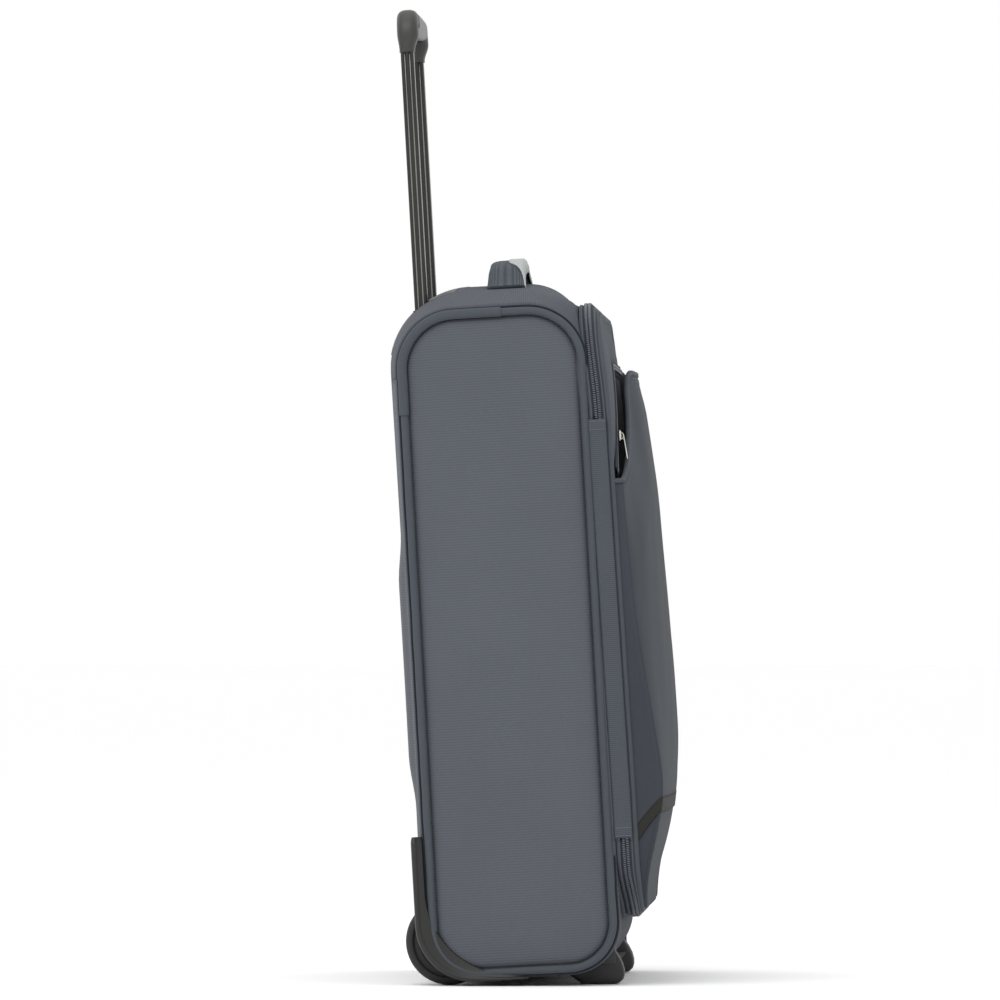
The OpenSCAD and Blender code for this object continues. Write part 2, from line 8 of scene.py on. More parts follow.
import bmesh
import bpy
import numpy as np
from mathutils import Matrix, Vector


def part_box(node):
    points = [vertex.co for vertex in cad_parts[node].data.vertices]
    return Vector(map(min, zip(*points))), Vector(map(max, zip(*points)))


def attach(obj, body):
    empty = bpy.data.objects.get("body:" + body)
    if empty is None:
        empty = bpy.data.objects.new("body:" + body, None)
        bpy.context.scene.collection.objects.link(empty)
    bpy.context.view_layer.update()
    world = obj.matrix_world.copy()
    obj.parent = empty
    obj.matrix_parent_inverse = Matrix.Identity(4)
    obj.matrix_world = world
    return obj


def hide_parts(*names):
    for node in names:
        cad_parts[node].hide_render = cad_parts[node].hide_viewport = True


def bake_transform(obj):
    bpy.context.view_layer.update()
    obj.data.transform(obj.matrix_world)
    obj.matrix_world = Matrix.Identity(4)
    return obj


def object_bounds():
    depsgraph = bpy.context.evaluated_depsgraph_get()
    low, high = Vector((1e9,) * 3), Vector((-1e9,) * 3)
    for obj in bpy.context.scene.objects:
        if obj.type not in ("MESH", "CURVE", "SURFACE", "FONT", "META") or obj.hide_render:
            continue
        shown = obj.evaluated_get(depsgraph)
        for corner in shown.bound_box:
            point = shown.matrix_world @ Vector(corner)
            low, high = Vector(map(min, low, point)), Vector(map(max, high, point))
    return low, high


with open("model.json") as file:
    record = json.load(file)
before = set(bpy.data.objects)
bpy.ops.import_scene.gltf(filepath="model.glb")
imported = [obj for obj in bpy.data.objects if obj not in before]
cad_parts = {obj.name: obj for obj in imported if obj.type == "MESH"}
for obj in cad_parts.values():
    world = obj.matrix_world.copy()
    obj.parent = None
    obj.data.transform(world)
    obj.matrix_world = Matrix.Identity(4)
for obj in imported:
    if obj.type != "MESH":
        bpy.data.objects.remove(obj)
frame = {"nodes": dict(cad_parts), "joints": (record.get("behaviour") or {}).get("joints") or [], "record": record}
cad_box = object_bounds()

# ------------------------------------------------------------------ the case frame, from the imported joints
JOINTS = {j["name"]: j for j in frame["joints"]}
X_AXIS = np.array([1.0, 0.0, 0.0])
U_AXIS = np.array(JOINTS["middle_stage_slide"]["axis"], float)
U_AXIS /= np.linalg.norm(U_AXIS)
F_AXIS = np.cross(X_AXIS, U_AXIS)
AXLE = np.array(JOINTS["wheel_left_spin"]["pos_m"], float) * [0, 1, 1]
BASIS = np.array([X_AXIS, F_AXIS, U_AXIS])
MM = 0.001
SIDES = ((-1, "left"), (1, "right"))
F_WAY = np.array([0, 1.0, 0])


def to_world(points):
    """Case frame (x, f, u) to the world frame."""
    return np.asarray(points, float).reshape(-1, 3) @ BASIS + AXLE


def case_box(*nodes):
    """Lowest and highest corner of CAD nodes in the case frame."""
    found = [np.array([v.co for v in frame["nodes"][n].data.vertices]) for n in nodes]
    local = (np.concatenate(found) - AXLE) @ BASIS.T
    return local.min(0), local.max(0)


def node_centre(node):
    """Middle of a CAD node's world box, as (x, f, u)."""
    lo, hi = (np.array(c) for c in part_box(node))
    return ((lo + hi) / 2 - AXLE) @ BASIS.T


# ------------------------------------------------------------------ numbers and points
def smoothstep(value):
    """0 below 0, 1 above 1, smooth between."""
    value = np.clip(value, 0, 1)
    return value * value * (3 - 2 * value)


def unit(vectors):
    """Vectors scaled to length 1."""
    return vectors / np.linalg.norm(vectors, axis=-1, keepdims=True)


def rounded_power(value, power):
    """Power that keeps the sign: it squares off a cosine or a sine."""
    return math.copysign(abs(value) ** power, value)


def triples(x, f, u):
    """Points from x, f and u, each an array or one number for all."""
    return np.stack(np.broadcast_arrays(x, f, u), -1).astype(float)


def arc_length(points, closed=True):
    """Length along a line at each of its points, and back at the start if it is closed."""
    nxt = np.roll(points, -1, 0) if closed else points[1:]
    base = points if closed else points[:-1]
    return np.concatenate([[0], np.cumsum(np.linalg.norm(nxt - base, axis=1))])


def smooth_noise(points, scale, seed):
    """Gentle noise between about -1 and 1, a sum of a few fixed waves."""
    local = np.random.default_rng(seed)
    total = np.zeros(len(points))
    for _ in range(6):
        direction = local.normal(size=3)
        direction /= np.linalg.norm(direction)
        wave = scale * local.uniform(0.6, 1.6)
        total += np.sin(points @ direction * 2 * math.pi / wave + local.uniform(0, 6.3))
    return total / 3.5


def smoothed(values, reach):
    """Running mean over reach values to each side."""
    window = 2 * reach + 1
    return np.convolve(np.pad(values, reach, mode="edge"), np.ones(window) / window, mode="valid")


def corner_loop(lo, hi, radii, step):
    """Rounded rectangle as evenly stepped points and outward normals, anticlockwise from the low-high corner.
    radii are at low-high, high-high, high-low and low-low, as in the CAD source."""
    (x0, y0), (x1, y1) = lo, hi
    low_high, high_high, high_low, low_low = radii
    corners = (((x0 + low_low, y0 + low_low), low_low, 180),
               ((x1 - high_low, y0 + high_low), high_low, 270),
               ((x1 - high_high, y1 - high_high), high_high, 0),
               ((x0 + low_high, y1 - low_high), low_high, 90))
    points, normals = [], []
    for k, (centre, r, start) in enumerate(corners):
        count = max(4, round(r * math.pi / 2 / step))
        turns = np.radians(start + 90 * np.arange(count + 1) / count)
        out = np.column_stack([np.cos(turns), np.sin(turns)])
        arc = np.array(centre) + r * out
        next_centre, next_r, next_start = corners[(k + 1) % 4]
        turn = math.radians(next_start)
        there = np.array(next_centre) + next_r * np.array([math.cos(turn), math.sin(turn)])
        count = max(1, round(math.dist(arc[-1], there) / step))
        shares = np.arange(1, count)[:, None] / count
        points += [arc, arc[-1] + (there - arc[-1]) * shares]
        normals += [out, np.tile(out[-1], (count - 1, 1))]
    return np.concatenate(points), np.concatenate(normals)


def sides_of(lo, hi, radii, n_a, n_b, step=1 * MM):
    """Rounded rectangle as four sides of n_a, n_b, n_a and n_b steps, split at the middles of its corners."""
    points, normals = corner_loop(lo, hi, radii, step)
    marks = [np.argmax(normals @ d) for d in ([-1, -1], [1, -1], [1, 1], [-1, 1])]
    loop, out = [], []
    for k, count in enumerate((n_a, n_b, n_a, n_b)):
        span = (marks[(k + 1) % 4] - marks[k]) % len(points)
        picked = (marks[k] + np.arange(span + 1)) % len(points)
        along = arc_length(points[picked], closed=False)
        at = np.linspace(0, along[-1], count, endpoint=False)
        for source, target in ((points, loop), (normals, out)):
            target.append(np.stack([np.interp(at, along, source[picked, c]) for c in (0, 1)], 1))
    return np.concatenate(loop), unit(np.concatenate(out))


def patch(lo, hi, radii, n_a, n_b, depths):
    """Rings inside a rounded rectangle, then a grid that fills the last ring. Gives flat points and quads."""
    loop, out = sides_of(lo, hi, radii, n_a, n_b)
    count = len(loop)
    rings = [loop - out * d for d in depths]
    faces = grid_faces(len(rings), count, loop_cols=True)
    inner, base = rings[-1], (len(rings) - 1) * count
    low, right = inner[:n_a + 1], inner[n_a:n_a + n_b + 1]
    high = inner[n_a + n_b:2 * n_a + n_b + 1][::-1]
    left = np.vstack([inner[2 * n_a + n_b:], inner[:1]])[::-1]
    index = np.zeros((n_a + 1, n_b + 1), int)
    extra = []
    for i in range(n_a + 1):
        for j in range(n_b + 1):
            if j == 0:
                index[i, j] = base + i
            elif i == n_a:
                index[i, j] = base + n_a + j
            elif j == n_b:
                index[i, j] = base + 2 * n_a + n_b - i
            elif i == 0:
                index[i, j] = base + (count - j) % count
            else:
                a, b = i / n_a, j / n_b
                flat = (1 - b) * low[i] + b * high[i] + (1 - a) * left[j] + a * right[j]
                flat -= (1 - b) * ((1 - a) * low[0] + a * low[-1]) + b * (a * high[-1] + (1 - a) * high[0])
                index[i, j] = len(rings) * count + len(extra)
                extra.append(flat)
    for i in range(n_a):
        for j in range(n_b):
            corners = (index[i, j], index[i + 1, j], index[i + 1, j + 1], index[i, j + 1])
            faces.append(tuple(int(v) for v in corners))
    return np.vstack([*rings, np.array(extra)]), faces


def edge_distance(points, lo, hi, radii):
    """Distance of flat points inwards from a rounded rectangle's edge."""
    mid, half = (np.array(lo) + hi) / 2, (np.array(hi) - lo) / 2
    local = points - mid
    r = np.where(local[:, 0] < 0, np.where(local[:, 1] > 0, radii[0], radii[3]),
                 np.where(local[:, 1] > 0, radii[1], radii[2]))
    q = np.abs(local) - half + r[:, None]
    return r - np.linalg.norm(np.maximum(q, 0), axis=1) - np.minimum(q.max(1), 0)


# ------------------------------------------------------------------ mesh helpers
def link(name, data):
    """Object in the scene for a mesh, a lamp or a camera."""
    obj = bpy.data.objects.new(name, data)
    bpy.context.scene.collection.objects.link(obj)
    return obj


def new_mesh(name, points, faces, uv=None, smooth=True, world=False):
    """Object from points in the case frame. uv gives one coordinate pair a point, in metres."""
    mesh = bpy.data.meshes.new(name)
    mesh.from_pydata((np.asarray(points) if world else to_world(points)).tolist(), [], faces)
    if uv is not None:
        layer = mesh.uv_layers.new(name="UVMap")
        corner_vertex = np.zeros(len(mesh.loops), np.int32)
        mesh.loops.foreach_get("vertex_index", corner_vertex)
        layer.data.foreach_set("uv", np.asarray(uv, np.float32).reshape(-1, 2)[corner_vertex].ravel())
    mesh.polygons.foreach_set("use_smooth", [smooth] * len(mesh.polygons))
    return link(name, mesh)


def grid_faces(rows, cols, loop_rows=False, loop_cols=False):
    """Quads over a rows by cols array of points, row by row."""
    faces = []
    for i in range(rows if loop_rows else rows - 1):
        for j in range(cols if loop_cols else cols - 1):
            a, b = i * cols, ((i + 1) % rows) * cols
            k = (j + 1) % cols
            faces.append((a + j, a + k, b + k, b + j))
    return faces


def grid_mesh(name, points, uv=None):
    """Sheet through an array of points, row by row."""
    return new_mesh(name, points, grid_faces(*np.shape(points)[:2]), uv)


def uv_grid(along, across):
    """UVs of a sheet from the lengths along its rows and across them."""
    return np.stack(np.meshgrid(along, across, indexing="ij"), -1)


def end_caps(rows, cols, stride):
    """Two many-sided faces that close the first and the last ring."""
    return [tuple(range(cols))[::-1], tuple((rows - 1) * stride + k for k in range(cols))]


def weld(obj):
    """Joins points that lie together, so that seams of a sweep shade smoothly."""
    bm = bmesh.new()
    bm.from_mesh(obj.data)
    bmesh.ops.remove_doubles(bm, verts=bm.verts, dist=0.001 * MM)
    bmesh.ops.recalc_face_normals(bm, faces=bm.faces)
    bm.to_mesh(obj.data)
    bm.free()


def face_out(obj):
    """Turns an open sheet's faces away from the middle of the case."""
    middle = Vector(to_world([(0.0, 57 * MM, 220 * MM)])[0])
    total = sum((p.center - middle).dot(p.normal) * p.area for p in obj.data.polygons)
    if total < 0:
        obj.data.flip_normals()


def bevelled(obj, width, segments):
    """Rounds the sharp edges."""
    edges = obj.modifiers.new("edges", "BEVEL")
    edges.width = width
    edges.segments = segments
    edges.limit_method = "ANGLE"
    return edges


def finish_piece(obj, body, material, replaces=(), bevel=0.0, solidify=0.0, padded=None):
    """Modifiers, material and body of one piece; the CAD nodes it replaces are hidden."""
    if solidify or padded is not None:
        face_out(obj)
    if solidify:
        skin = obj.modifiers.new("thickness", "SOLIDIFY")
        skin.thickness = solidify
        skin.offset = 0.0
    if bevel:
        bevelled(obj, bevel, 2)
    obj.data.materials.append(material)
    if body:
        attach(obj, body)
    if replaces:
        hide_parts(*replaces)
    return obj


def sweep(name, path, frame_a, frame_b, section, closed, caps=False):
    """Sweeps a closed section, points in (a, b), along a path with the given side directions."""
    rings = path[:, None] + section[None, :, :1] * frame_a[:, None] + section[None, :, 1:] * frame_b[:, None]
    if closed:
        path = np.vstack([path, path[:1]])
        rings = np.concatenate([rings, rings[:1]])
    rings = np.concatenate([rings, rings[:, :1]], 1)
    rows, cols = rings.shape[:2]
    faces = grid_faces(rows, cols)
    if caps:
        faces += end_caps(rows, cols - 1, cols)
    obj = new_mesh(name, rings, faces, uv_grid(arc_length(path, closed=False), arc_length(section)))
    weld(obj)
    return obj


def cord_along(name, path, r, count):
    """Round cord with closed ends along an open path that never runs straight up."""
    way = unit(np.gradient(path, axis=0))
    forward = unit(np.cross(way, [0, 0, 1.0]))
    section = circle_section(r, count)
    return sweep(name, path, np.cross(forward, way), forward, section, closed=False, caps=True)


def circle_section(r, count=14):
    """Circle as points in (a, b)."""
    a = np.linspace(0, 2 * math.pi, count, endpoint=False)
    return r * np.stack([np.cos(a), np.sin(a)], 1)


def loft(name, rings, body, material, replaces=()):
    """Closed rings of equal count joined into one closed skin."""
    rings = np.array(rings, float)
    rows, cols = rings.shape[:2]
    faces = grid_faces(rows, cols, loop_cols=True) + end_caps(rows, cols, cols)
    uv = np.stack([np.tile(np.arange(cols) * MM, (rows, 1)), rings[..., 2]], -1)
    obj = new_mesh(name, rings, faces, uv)
    weld(obj)
    return finish_piece(obj, body, material, replaces)


def softened(node, name, body, material, width):
    """The CAD node's shape with its edges rounded, as a piece that stands for it."""
    bm = bmesh.new()
    bm.from_mesh(frame["nodes"][node].data)
    bmesh.ops.remove_doubles(bm, verts=bm.verts, dist=0.002 * MM)
    bmesh.ops.dissolve_limit(bm, angle_limit=math.radians(0.6), verts=bm.verts, edges=bm.edges)
    mesh = bpy.data.meshes.new(name)
    bm.to_mesh(mesh)
    bm.free()
    mesh.polygons.foreach_set("use_smooth", [True] * len(mesh.polygons))
    obj = link(name, mesh)
    edges = bevelled(obj, width, 3)
    edges.angle_limit = math.radians(28)
    edges.harden_normals = True
    return finish_piece(obj, body, material, [node])


def many(name, place, shape, faces):
    """One mesh of many copies of a small shape. place holds (origin, a, b, c) with the three axes as rows."""
    shape = np.array(shape)
    points = np.concatenate([origin + shape @ np.array([a, b, c]) for origin, a, b, c in place])
    count = len(shape)
    all_faces = [tuple(v + k * count for v in face) for k in range(len(place)) for face in faces]
    return new_mesh(name, points, all_faces, np.tile(shape[:, :2], (len(place), 1)))


def pill(a, b, c, rounding=0.3):
    """Small rounded block with half sizes a, b and c: points and faces."""
    shape = []
    inner, count = 1 - rounding, 8
    for level, size in ((-c, inner), (-c * inner, 1), (c * inner, 1), (c, inner)):
        for t in 2 * math.pi * (np.arange(count) + 0.5) / count:
            x, y = (math.copysign(min(abs(v) * 1.35, 1), v) for v in (math.cos(t), math.sin(t)))
            shape.append((a * x * size, b * y * size, level))
    return shape, grid_faces(4, count, loop_cols=True) + end_caps(4, count, count)


def spaced(line, pitch, start=0.0):
    """Evenly spaced points and directions along an open line."""
    along = arc_length(line, closed=False)
    at = np.arange(start, along[-1], pitch)
    near = 0.2 * MM
    points, ahead, behind = (np.stack([np.interp(at + d, along, line[:, c]) for c in range(3)], 1)
                             for d in (0, near, -near))
    return points, unit(ahead - behind)


def stitches(name, lines, body, normal, pitch, size=0.22 * MM):
    """Rows of thread stitches along lines that lie on a surface with the given normal."""
    place = []
    n = np.array(normal, float)
    for line in lines:
        for p, w in zip(*spaced(line, pitch, pitch / 2)):
            place.append((p + n * size * 0.5, w, unit(np.cross(w, n)), n))
    obj = many(name, place, *pill(pitch * 0.36, size, size, 0.45))
    return finish_piece(obj, body, THREAD)


def zip_teeth(name, line, body, out_at, pitch, half, start=0.0):
    """One row of coil teeth along a line."""
    place = []
    for p, w in zip(*spaced(line, pitch, start)):
        n = out_at(p)
        place.append((p, np.cross(w, n), w, n))
    obj = many(name, place, *pill(*half, 0.4))
    return finish_piece(obj, body, TEETH)


def sheet_piece(name, points, uv, material, slot, replaces, thick, held, rests_on, body="lid"):
    """A sewn sheet of some thickness from a grid of points."""
    obj = grid_mesh(name, points, uv)
    finish_piece(obj, body, material, replaces, solidify=thick)


# ------------------------------------------------------------------ materials
class Graph:
    """A material's node tree with short calls for what the materials below repeat."""

    def __init__(self, name, roughness, metallic=0.0, sheen=0.0, coat=0.0, specular=0.5):
        self.material = bpy.data.materials.new(name)
        self.material.use_nodes = True
        self.tree = self.material.node_tree
        self.tree.nodes.clear()
        out = self.node("OutputMaterial")
        self.shader = self.node("BsdfPrincipled")
        self.tree.links.new(self.shader.outputs[0], out.inputs[0])
        for socket, value in (("Roughness", roughness), ("Metallic", metallic), ("Sheen Weight", sheen),
                              ("Sheen Roughness", 0.45), ("Coat Weight", coat),
                              ("Specular IOR Level", specular)):
            self.put(socket, value)

    def node(self, kind):
        return self.tree.nodes.new("ShaderNode" + kind)

    def feed(self, socket, value):
        """Links an output, or sets a plain value, on a socket."""
        if isinstance(value, bpy.types.NodeSocket):
            self.tree.links.new(value, socket)
        else:
            socket.default_value = value

    def put(self, socket, value):
        """Links or sets one of the shader's own sockets."""
        self.feed(self.shader.inputs[socket], value)

    def math(self, operation, a, b=0.0, c=0.0):
        node = self.node("Math")
        node.operation = operation
        for socket, value in zip(node.inputs, (a, b, c)):
            self.feed(socket, value)
        return node.outputs[0]

    def wave(self, coordinate, pitch):
        """Sine from 0 to 1 along a coordinate."""
        turned = self.math("MULTIPLY_ADD", coordinate, 2 * math.pi / pitch, 0.0)
        return self.math("MULTIPLY_ADD", self.math("SINE", turned), 0.5, 0.5)

    def uv(self):
        """The UV vector, its U and its V."""
        node = self.node("UVMap")
        node.uv_map = "UVMap"
        split = self.node("SeparateXYZ")
        self.feed(split.inputs[0], node.outputs[0])
        return node.outputs[0], split.outputs[0], split.outputs[1]

    def place(self):
        """Object coordinates, which are the world frame, in metres."""
        return self.node("TexCoord").outputs["Object"]

    def scaled(self, vector, x, y, z):
        node = self.node("VectorMath")
        node.operation = "MULTIPLY"
        self.feed(node.inputs[0], vector)
        self.feed(node.inputs[1], (x, y, z))
        return node.outputs[0]

    def noise(self, vector, scale, detail=3.0, roughness=0.55):
        node = self.node("TexNoise")
        for socket, value in (("Vector", vector), ("Scale", scale), ("Detail", detail),
                              ("Roughness", roughness)):
            self.feed(node.inputs[socket], value)
        return node.outputs["Fac"]

    def mix(self, factor, a, b):
        """From colour a to colour b."""
        node = self.node("Mix")
        node.data_type = "RGBA"
        node.clamp_factor = True
        self.feed(node.inputs[0], factor)
        for socket, colour in ((node.inputs[6], a), (node.inputs[7], b)):
            self.feed(socket, (*colour, 1.0))
        return node.outputs[2]

    def ramp(self, value, low, high):
        """0 below low, 1 above high, smooth between."""
        node = self.node("MapRange")
        node.interpolation_type = "SMOOTHSTEP"
        for socket, given in zip(node.inputs, (value, low, high)):
            self.feed(socket, given)
        return node.outputs[0]

    def bump(self, height, distance):
        node = self.node("Bump")
        self.feed(node.inputs["Strength"], 1.0)
        self.feed(node.inputs["Distance"], distance)
        self.feed(node.inputs["Height"], height)
        return node.outputs[0]


def srgb(colour):
    """0-255 display colour to linear."""
    shares = (c / 255 for c in colour)
    return tuple(c / 12.92 if c <= 0.04045 else ((c + 0.055) / 1.055) ** 2.4 for c in shares)


def woven(name, light, dark, rib, tick, depth=0.25, contrast=0.8, sheen=0.04):
    """Ribbed weave on the UV map: ribs across V, broken by the yarns across U, with worn and dusty tones.
    rib, tick and depth are in millimetres."""
    g = Graph(name, roughness=0.82, sheen=sheen, specular=0.12)
    rib, tick, tone = rib * MM, tick * MM, 0.25
    uv, u, v = g.uv()
    row = g.math("FLOOR", g.math("DIVIDE", v, rib))
    ribs = g.math("POWER", g.wave(v, rib), 0.7)
    ticks = g.wave(g.math("MULTIPLY_ADD", row, tick / 2, u), tick)
    yarn = g.noise(g.scaled(uv, 260, 1 / rib, 1), 1.0, 2.0)
    height = g.math("MULTIPLY", ribs, g.math("MULTIPLY_ADD", ticks, 0.55, 0.45))
    height = g.math("ADD", height, g.math("MULTIPLY", yarn, 0.5))
    cloudy = g.noise(g.place(), 14.0, 4.0)
    shade = g.math("MULTIPLY_ADD", height, contrast, g.math("MULTIPLY_ADD", cloudy, tone, -tone / 2 - 0.1))
    g.put("Base Color", g.mix(shade, srgb(dark), srgb(light)))
    g.put("Roughness", g.math("MULTIPLY_ADD", yarn, 0.2, 0.72))
    g.put("Normal", g.bump(height, depth * MM))
    return g.material


def moulded(name, colour, edge, roughness, grain=0.04, coat=0.0):
    """Moulded plastic or rubber with faint flow marks and paler scuffs. grain is its depth in millimetres."""
    g = Graph(name, roughness=roughness, coat=coat, specular=0.45)
    where = g.place()
    fine = g.noise(where, 1 / (0.8 * MM), 3.0, 0.6)
    broad = g.noise(where, 22.0, 4.0)
    scuffs = g.ramp(g.noise(g.scaled(where, 90, 90, 30), 1.0, 6.0, 0.7), 0.58, 0.78)
    worn = g.math("MULTIPLY_ADD", scuffs, 0.35, g.math("MULTIPLY", broad, 0.4))
    g.put("Base Color", g.mix(worn, srgb(colour), srgb(edge)))
    g.put("Roughness", g.math("MULTIPLY_ADD", fine, 0.18, roughness - 0.08))
    g.put("Normal", g.bump(fine, grain * MM))
    return g.material


def metal(name, colour, roughness):
    """Drawn or plated metal with fine lines along the case and small stains."""
    g = Graph(name, roughness=roughness, metallic=1.0)
    where = g.place()
    lines = g.noise(g.scaled(where, 400.0, 400.0, 6.0), 1.0, 2.0)
    stains = g.noise(where, 60.0, 4.0)
    clean = srgb(colour)
    g.put("Base Color", g.mix(g.math("MULTIPLY", stains, 0.8), clean, tuple(c * 0.72 for c in clean)))
    g.put("Roughness", g.math("MULTIPLY_ADD", lines, 0.22, roughness - 0.08))
    g.put("Normal", g.bump(lines, 0.02 * MM))
    return g.material


SIDE = woven("side_weave", (101, 105, 111), (77, 81, 87), 2.0, 1.7, depth=0.1, contrast=0.45)
GUSSET = woven("gusset_weave", (92, 96, 102), (63, 67, 74), 1.5, 1.2, depth=0.12, contrast=0.55)
FACE = woven("lid_weave", (82, 87, 94), (60, 65, 72), 1.0, 1.0, depth=0.06, contrast=0.5)
MESH_CLOTH = woven("mesh_cloth", (52, 54, 58), (22, 23, 26), 1.6, 1.6, depth=0.2, contrast=1.0)
BINDING = woven("binding_weave", (87, 92, 98), (62, 67, 74), 0.9, 0.9, depth=0.08, contrast=0.6, sheen=0.06)
POCKET = woven("pocket_weave", (77, 81, 87), (54, 58, 64), 0.8, 0.8, depth=0.06, contrast=0.5)
BAND = woven("band_weave", (58, 57, 53), (38, 38, 36), 1.0, 0.7, depth=0.08)
HANDLE = woven("handle_weave", (85, 90, 97), (52, 57, 64), 1.9, 1.2)
STRIP = woven("light_strip", (182, 187, 186), (150, 155, 154), 0.7, 0.7, depth=0.05, sheen=0.1)
LINING = woven("lining_cloth", (70, 72, 76), (45, 47, 51), 0.5, 0.5, depth=0.04, sheen=0.1)
TAPE = woven("zip_tape_weave", (58, 62, 70), (36, 39, 46), 0.7, 0.7, depth=0.06)
# Dark cord laid just outside the side piping: painted shade of the groove where the cover meets the piping.
SEAM_SHADE = woven("seam_groove_shade", (44, 48, 55), (30, 33, 39), 0.6, 0.6, depth=0.04)
THREAD = woven("thread", (128, 134, 142), (92, 98, 106), 0.3, 0.3, depth=0.03)
TEETH = moulded("zip_teeth", (70, 75, 83), (104, 109, 117), 0.35, coat=0.2)
SHELL = moulded("shell_plastic", (25, 25, 24), (39, 39, 37), 0.42)
GRIP = moulded("grip_plastic", (42, 42, 41), (66, 66, 64), 0.42, grain=0.02)
GRIP_LIGHT = moulded("grip_insert", (86, 86, 85), (114, 114, 112), 0.45, grain=0.02)
HUB = moulded("hub_plastic", (16, 16, 16), (28, 28, 27), 0.55)
TYRE = moulded("tyre_rubber", (20, 20, 20), (36, 36, 35), 0.62, grain=0.06)
TUBE = moulded("tube_paint", (18, 18, 17), (30, 30, 29), 0.32, grain=0.004, coat=0.1)
# Pale metal for strips in the handle tubes' grooves: painted highlight lines of the groove edges.
TUBE_HIGHLIGHT_LINE = metal("tube_highlight_line", (138, 138, 133), 0.3)
STEEL = metal("bright_steel", (176, 176, 178), 0.3)
NICKEL = metal("zip_nickel", (206, 204, 198), 0.22)
BOARD = moulded("back_board", (52, 52, 54), (74, 74, 76), 0.7)


# ------------------------------------------------------------------ dimensions read from the frame
piping_lo, piping_hi = case_box("piping_right")
REAR, FRONT = piping_lo[1], piping_hi[1]
BASE, TOP = piping_lo[2], piping_hi[2] + 4 * MM
EDGE_X = piping_lo[0]
PIPING_R = (piping_hi[0] - EDGE_X) / 2
PIPING_X = (piping_hi[0] + EDGE_X) / 2
CORD_R = 2.8 * MM
CROWN = case_box("top_panel")[1][2] - TOP
BULGE = REAR - case_box("back_panel")[0][1]
SIDE_RADII = np.array([45, 45, 38, 40]) * MM
HOUSING_LO, HOUSING_HI = case_box("wheel_housing_right")
BEZEL_LO, BEZEL_HI = case_box("tube_housing")
CUT_MARGIN = 5 * MM
lid_lo, lid_hi = case_box("lid_gusset")
LID_X, LID_LO_U, LID_HI_U = lid_hi[0], lid_lo[2], lid_hi[2]
LID_R = 56 * MM
SPLIT_F = (case_box("body_zip")[1][1] + case_box("lid_zip")[0][1]) / 2
RING_F = SPLIT_F - 13 * MM
LID_PIPING_F = SPLIT_F + 7.3 * MM
strip_lo, strip_hi = case_box("hinge_strip")
GAP = (strip_lo[2] - 1 * MM, strip_hi[2] + 1 * MM)


def ring_loop(grow, step=5 * MM):
    """The lid's outline in (x, u), grown by some distance."""
    r = LID_R + grow
    return corner_loop((-LID_X - grow, LID_LO_U - grow), (LID_X + grow, LID_HI_U + grow), [r] * 4, step)


def opening_warp(points):
    """Leans the opening's ring back at its top and forward at its bottom, and tapers the lid's top."""
    points = np.array(points, float)
    f, u = points[..., 1].copy(), points[..., 2].copy()
    lidward = smoothstep((f - SPLIT_F - 1 * MM) / (9 * MM))
    points[..., 1] -= 4.5 * MM * smoothstep((u - 385 * MM) / (90 * MM))
    points[..., 1] += 2.6 * MM * np.clip((360 * MM - u) / (260 * MM), 0, 1)
    points[..., 1] += 3.6 * MM * smoothstep((50 * MM - u) / (38 * MM)) * (1 - lidward)
    above = np.clip((u - LID_HI_U + LID_R) / LID_R, 0, 1)
    points[..., 2] -= 9 * MM * np.clip((f - SPLIT_F - 1 * MM) / (9 * MM), 0, 1) ** 2 * above
    return points


# ------------------------------------------------------------------ fabric body
def swell(s):
    """1 in the middle of the case, 0 at its sides."""
    return 1 - s ** 2


def ring_point(s, grow, upper):
    """Where the fabric that starts at s across the case meets the ring round the opening, as (x, u)."""
    r = LID_R + grow
    straight = (LID_X - LID_R) / EDGE_X
    u_edge = LID_HI_U + grow if upper else LID_LO_U - grow
    u_centre = LID_HI_U - LID_R if upper else LID_LO_U + LID_R
    x = s * EDGE_X
    if abs(s) <= straight:
        return x, u_edge
    turn = (abs(s) - straight) / (1 - straight) * math.radians(86)
    x = math.copysign(LID_X - LID_R + r * math.sin(turn), s)
    return x, u_centre + (r if upper else -r) * math.cos(turn)


def cover(section, columns=97):
    """Lofts sections, one for each place across the case, into a sheet with UVs in metres."""
    spots = np.sin(np.linspace(-1, 1, columns) * math.pi / 2 * 0.985) / math.sin(math.pi / 2 * 0.985)
    rows = np.array([section(s) for s in spots])
    along = np.array([arc_length(r, closed=False) for r in rows]).mean(0)
    uv = np.stack([rows[..., 0], np.tile(along, (columns, 1))], -1)
    return rows.reshape(-1, 3), grid_faces(columns, rows.shape[1]), uv


def tuck(s):
    """The cover's edge sinks into the seam beside the piping in the last few millimetres."""
    return 4.6 * MM * smoothstep((abs(s) - 0.968) / 0.032)


def cover_x(s):
    """Place across the case: the cover reaches a little under the piping."""
    return s * (EDGE_X + 2.4 * MM)


def rear_f(s):
    """How far back the cover reaches at a place across the case."""
    return REAR - BULGE * swell(s) + tuck(s)


def rim_f(u):
    """How far forward the body's cover ends where it meets the opening's ring."""
    return float(opening_warp([0.0, RING_F, u])[1])


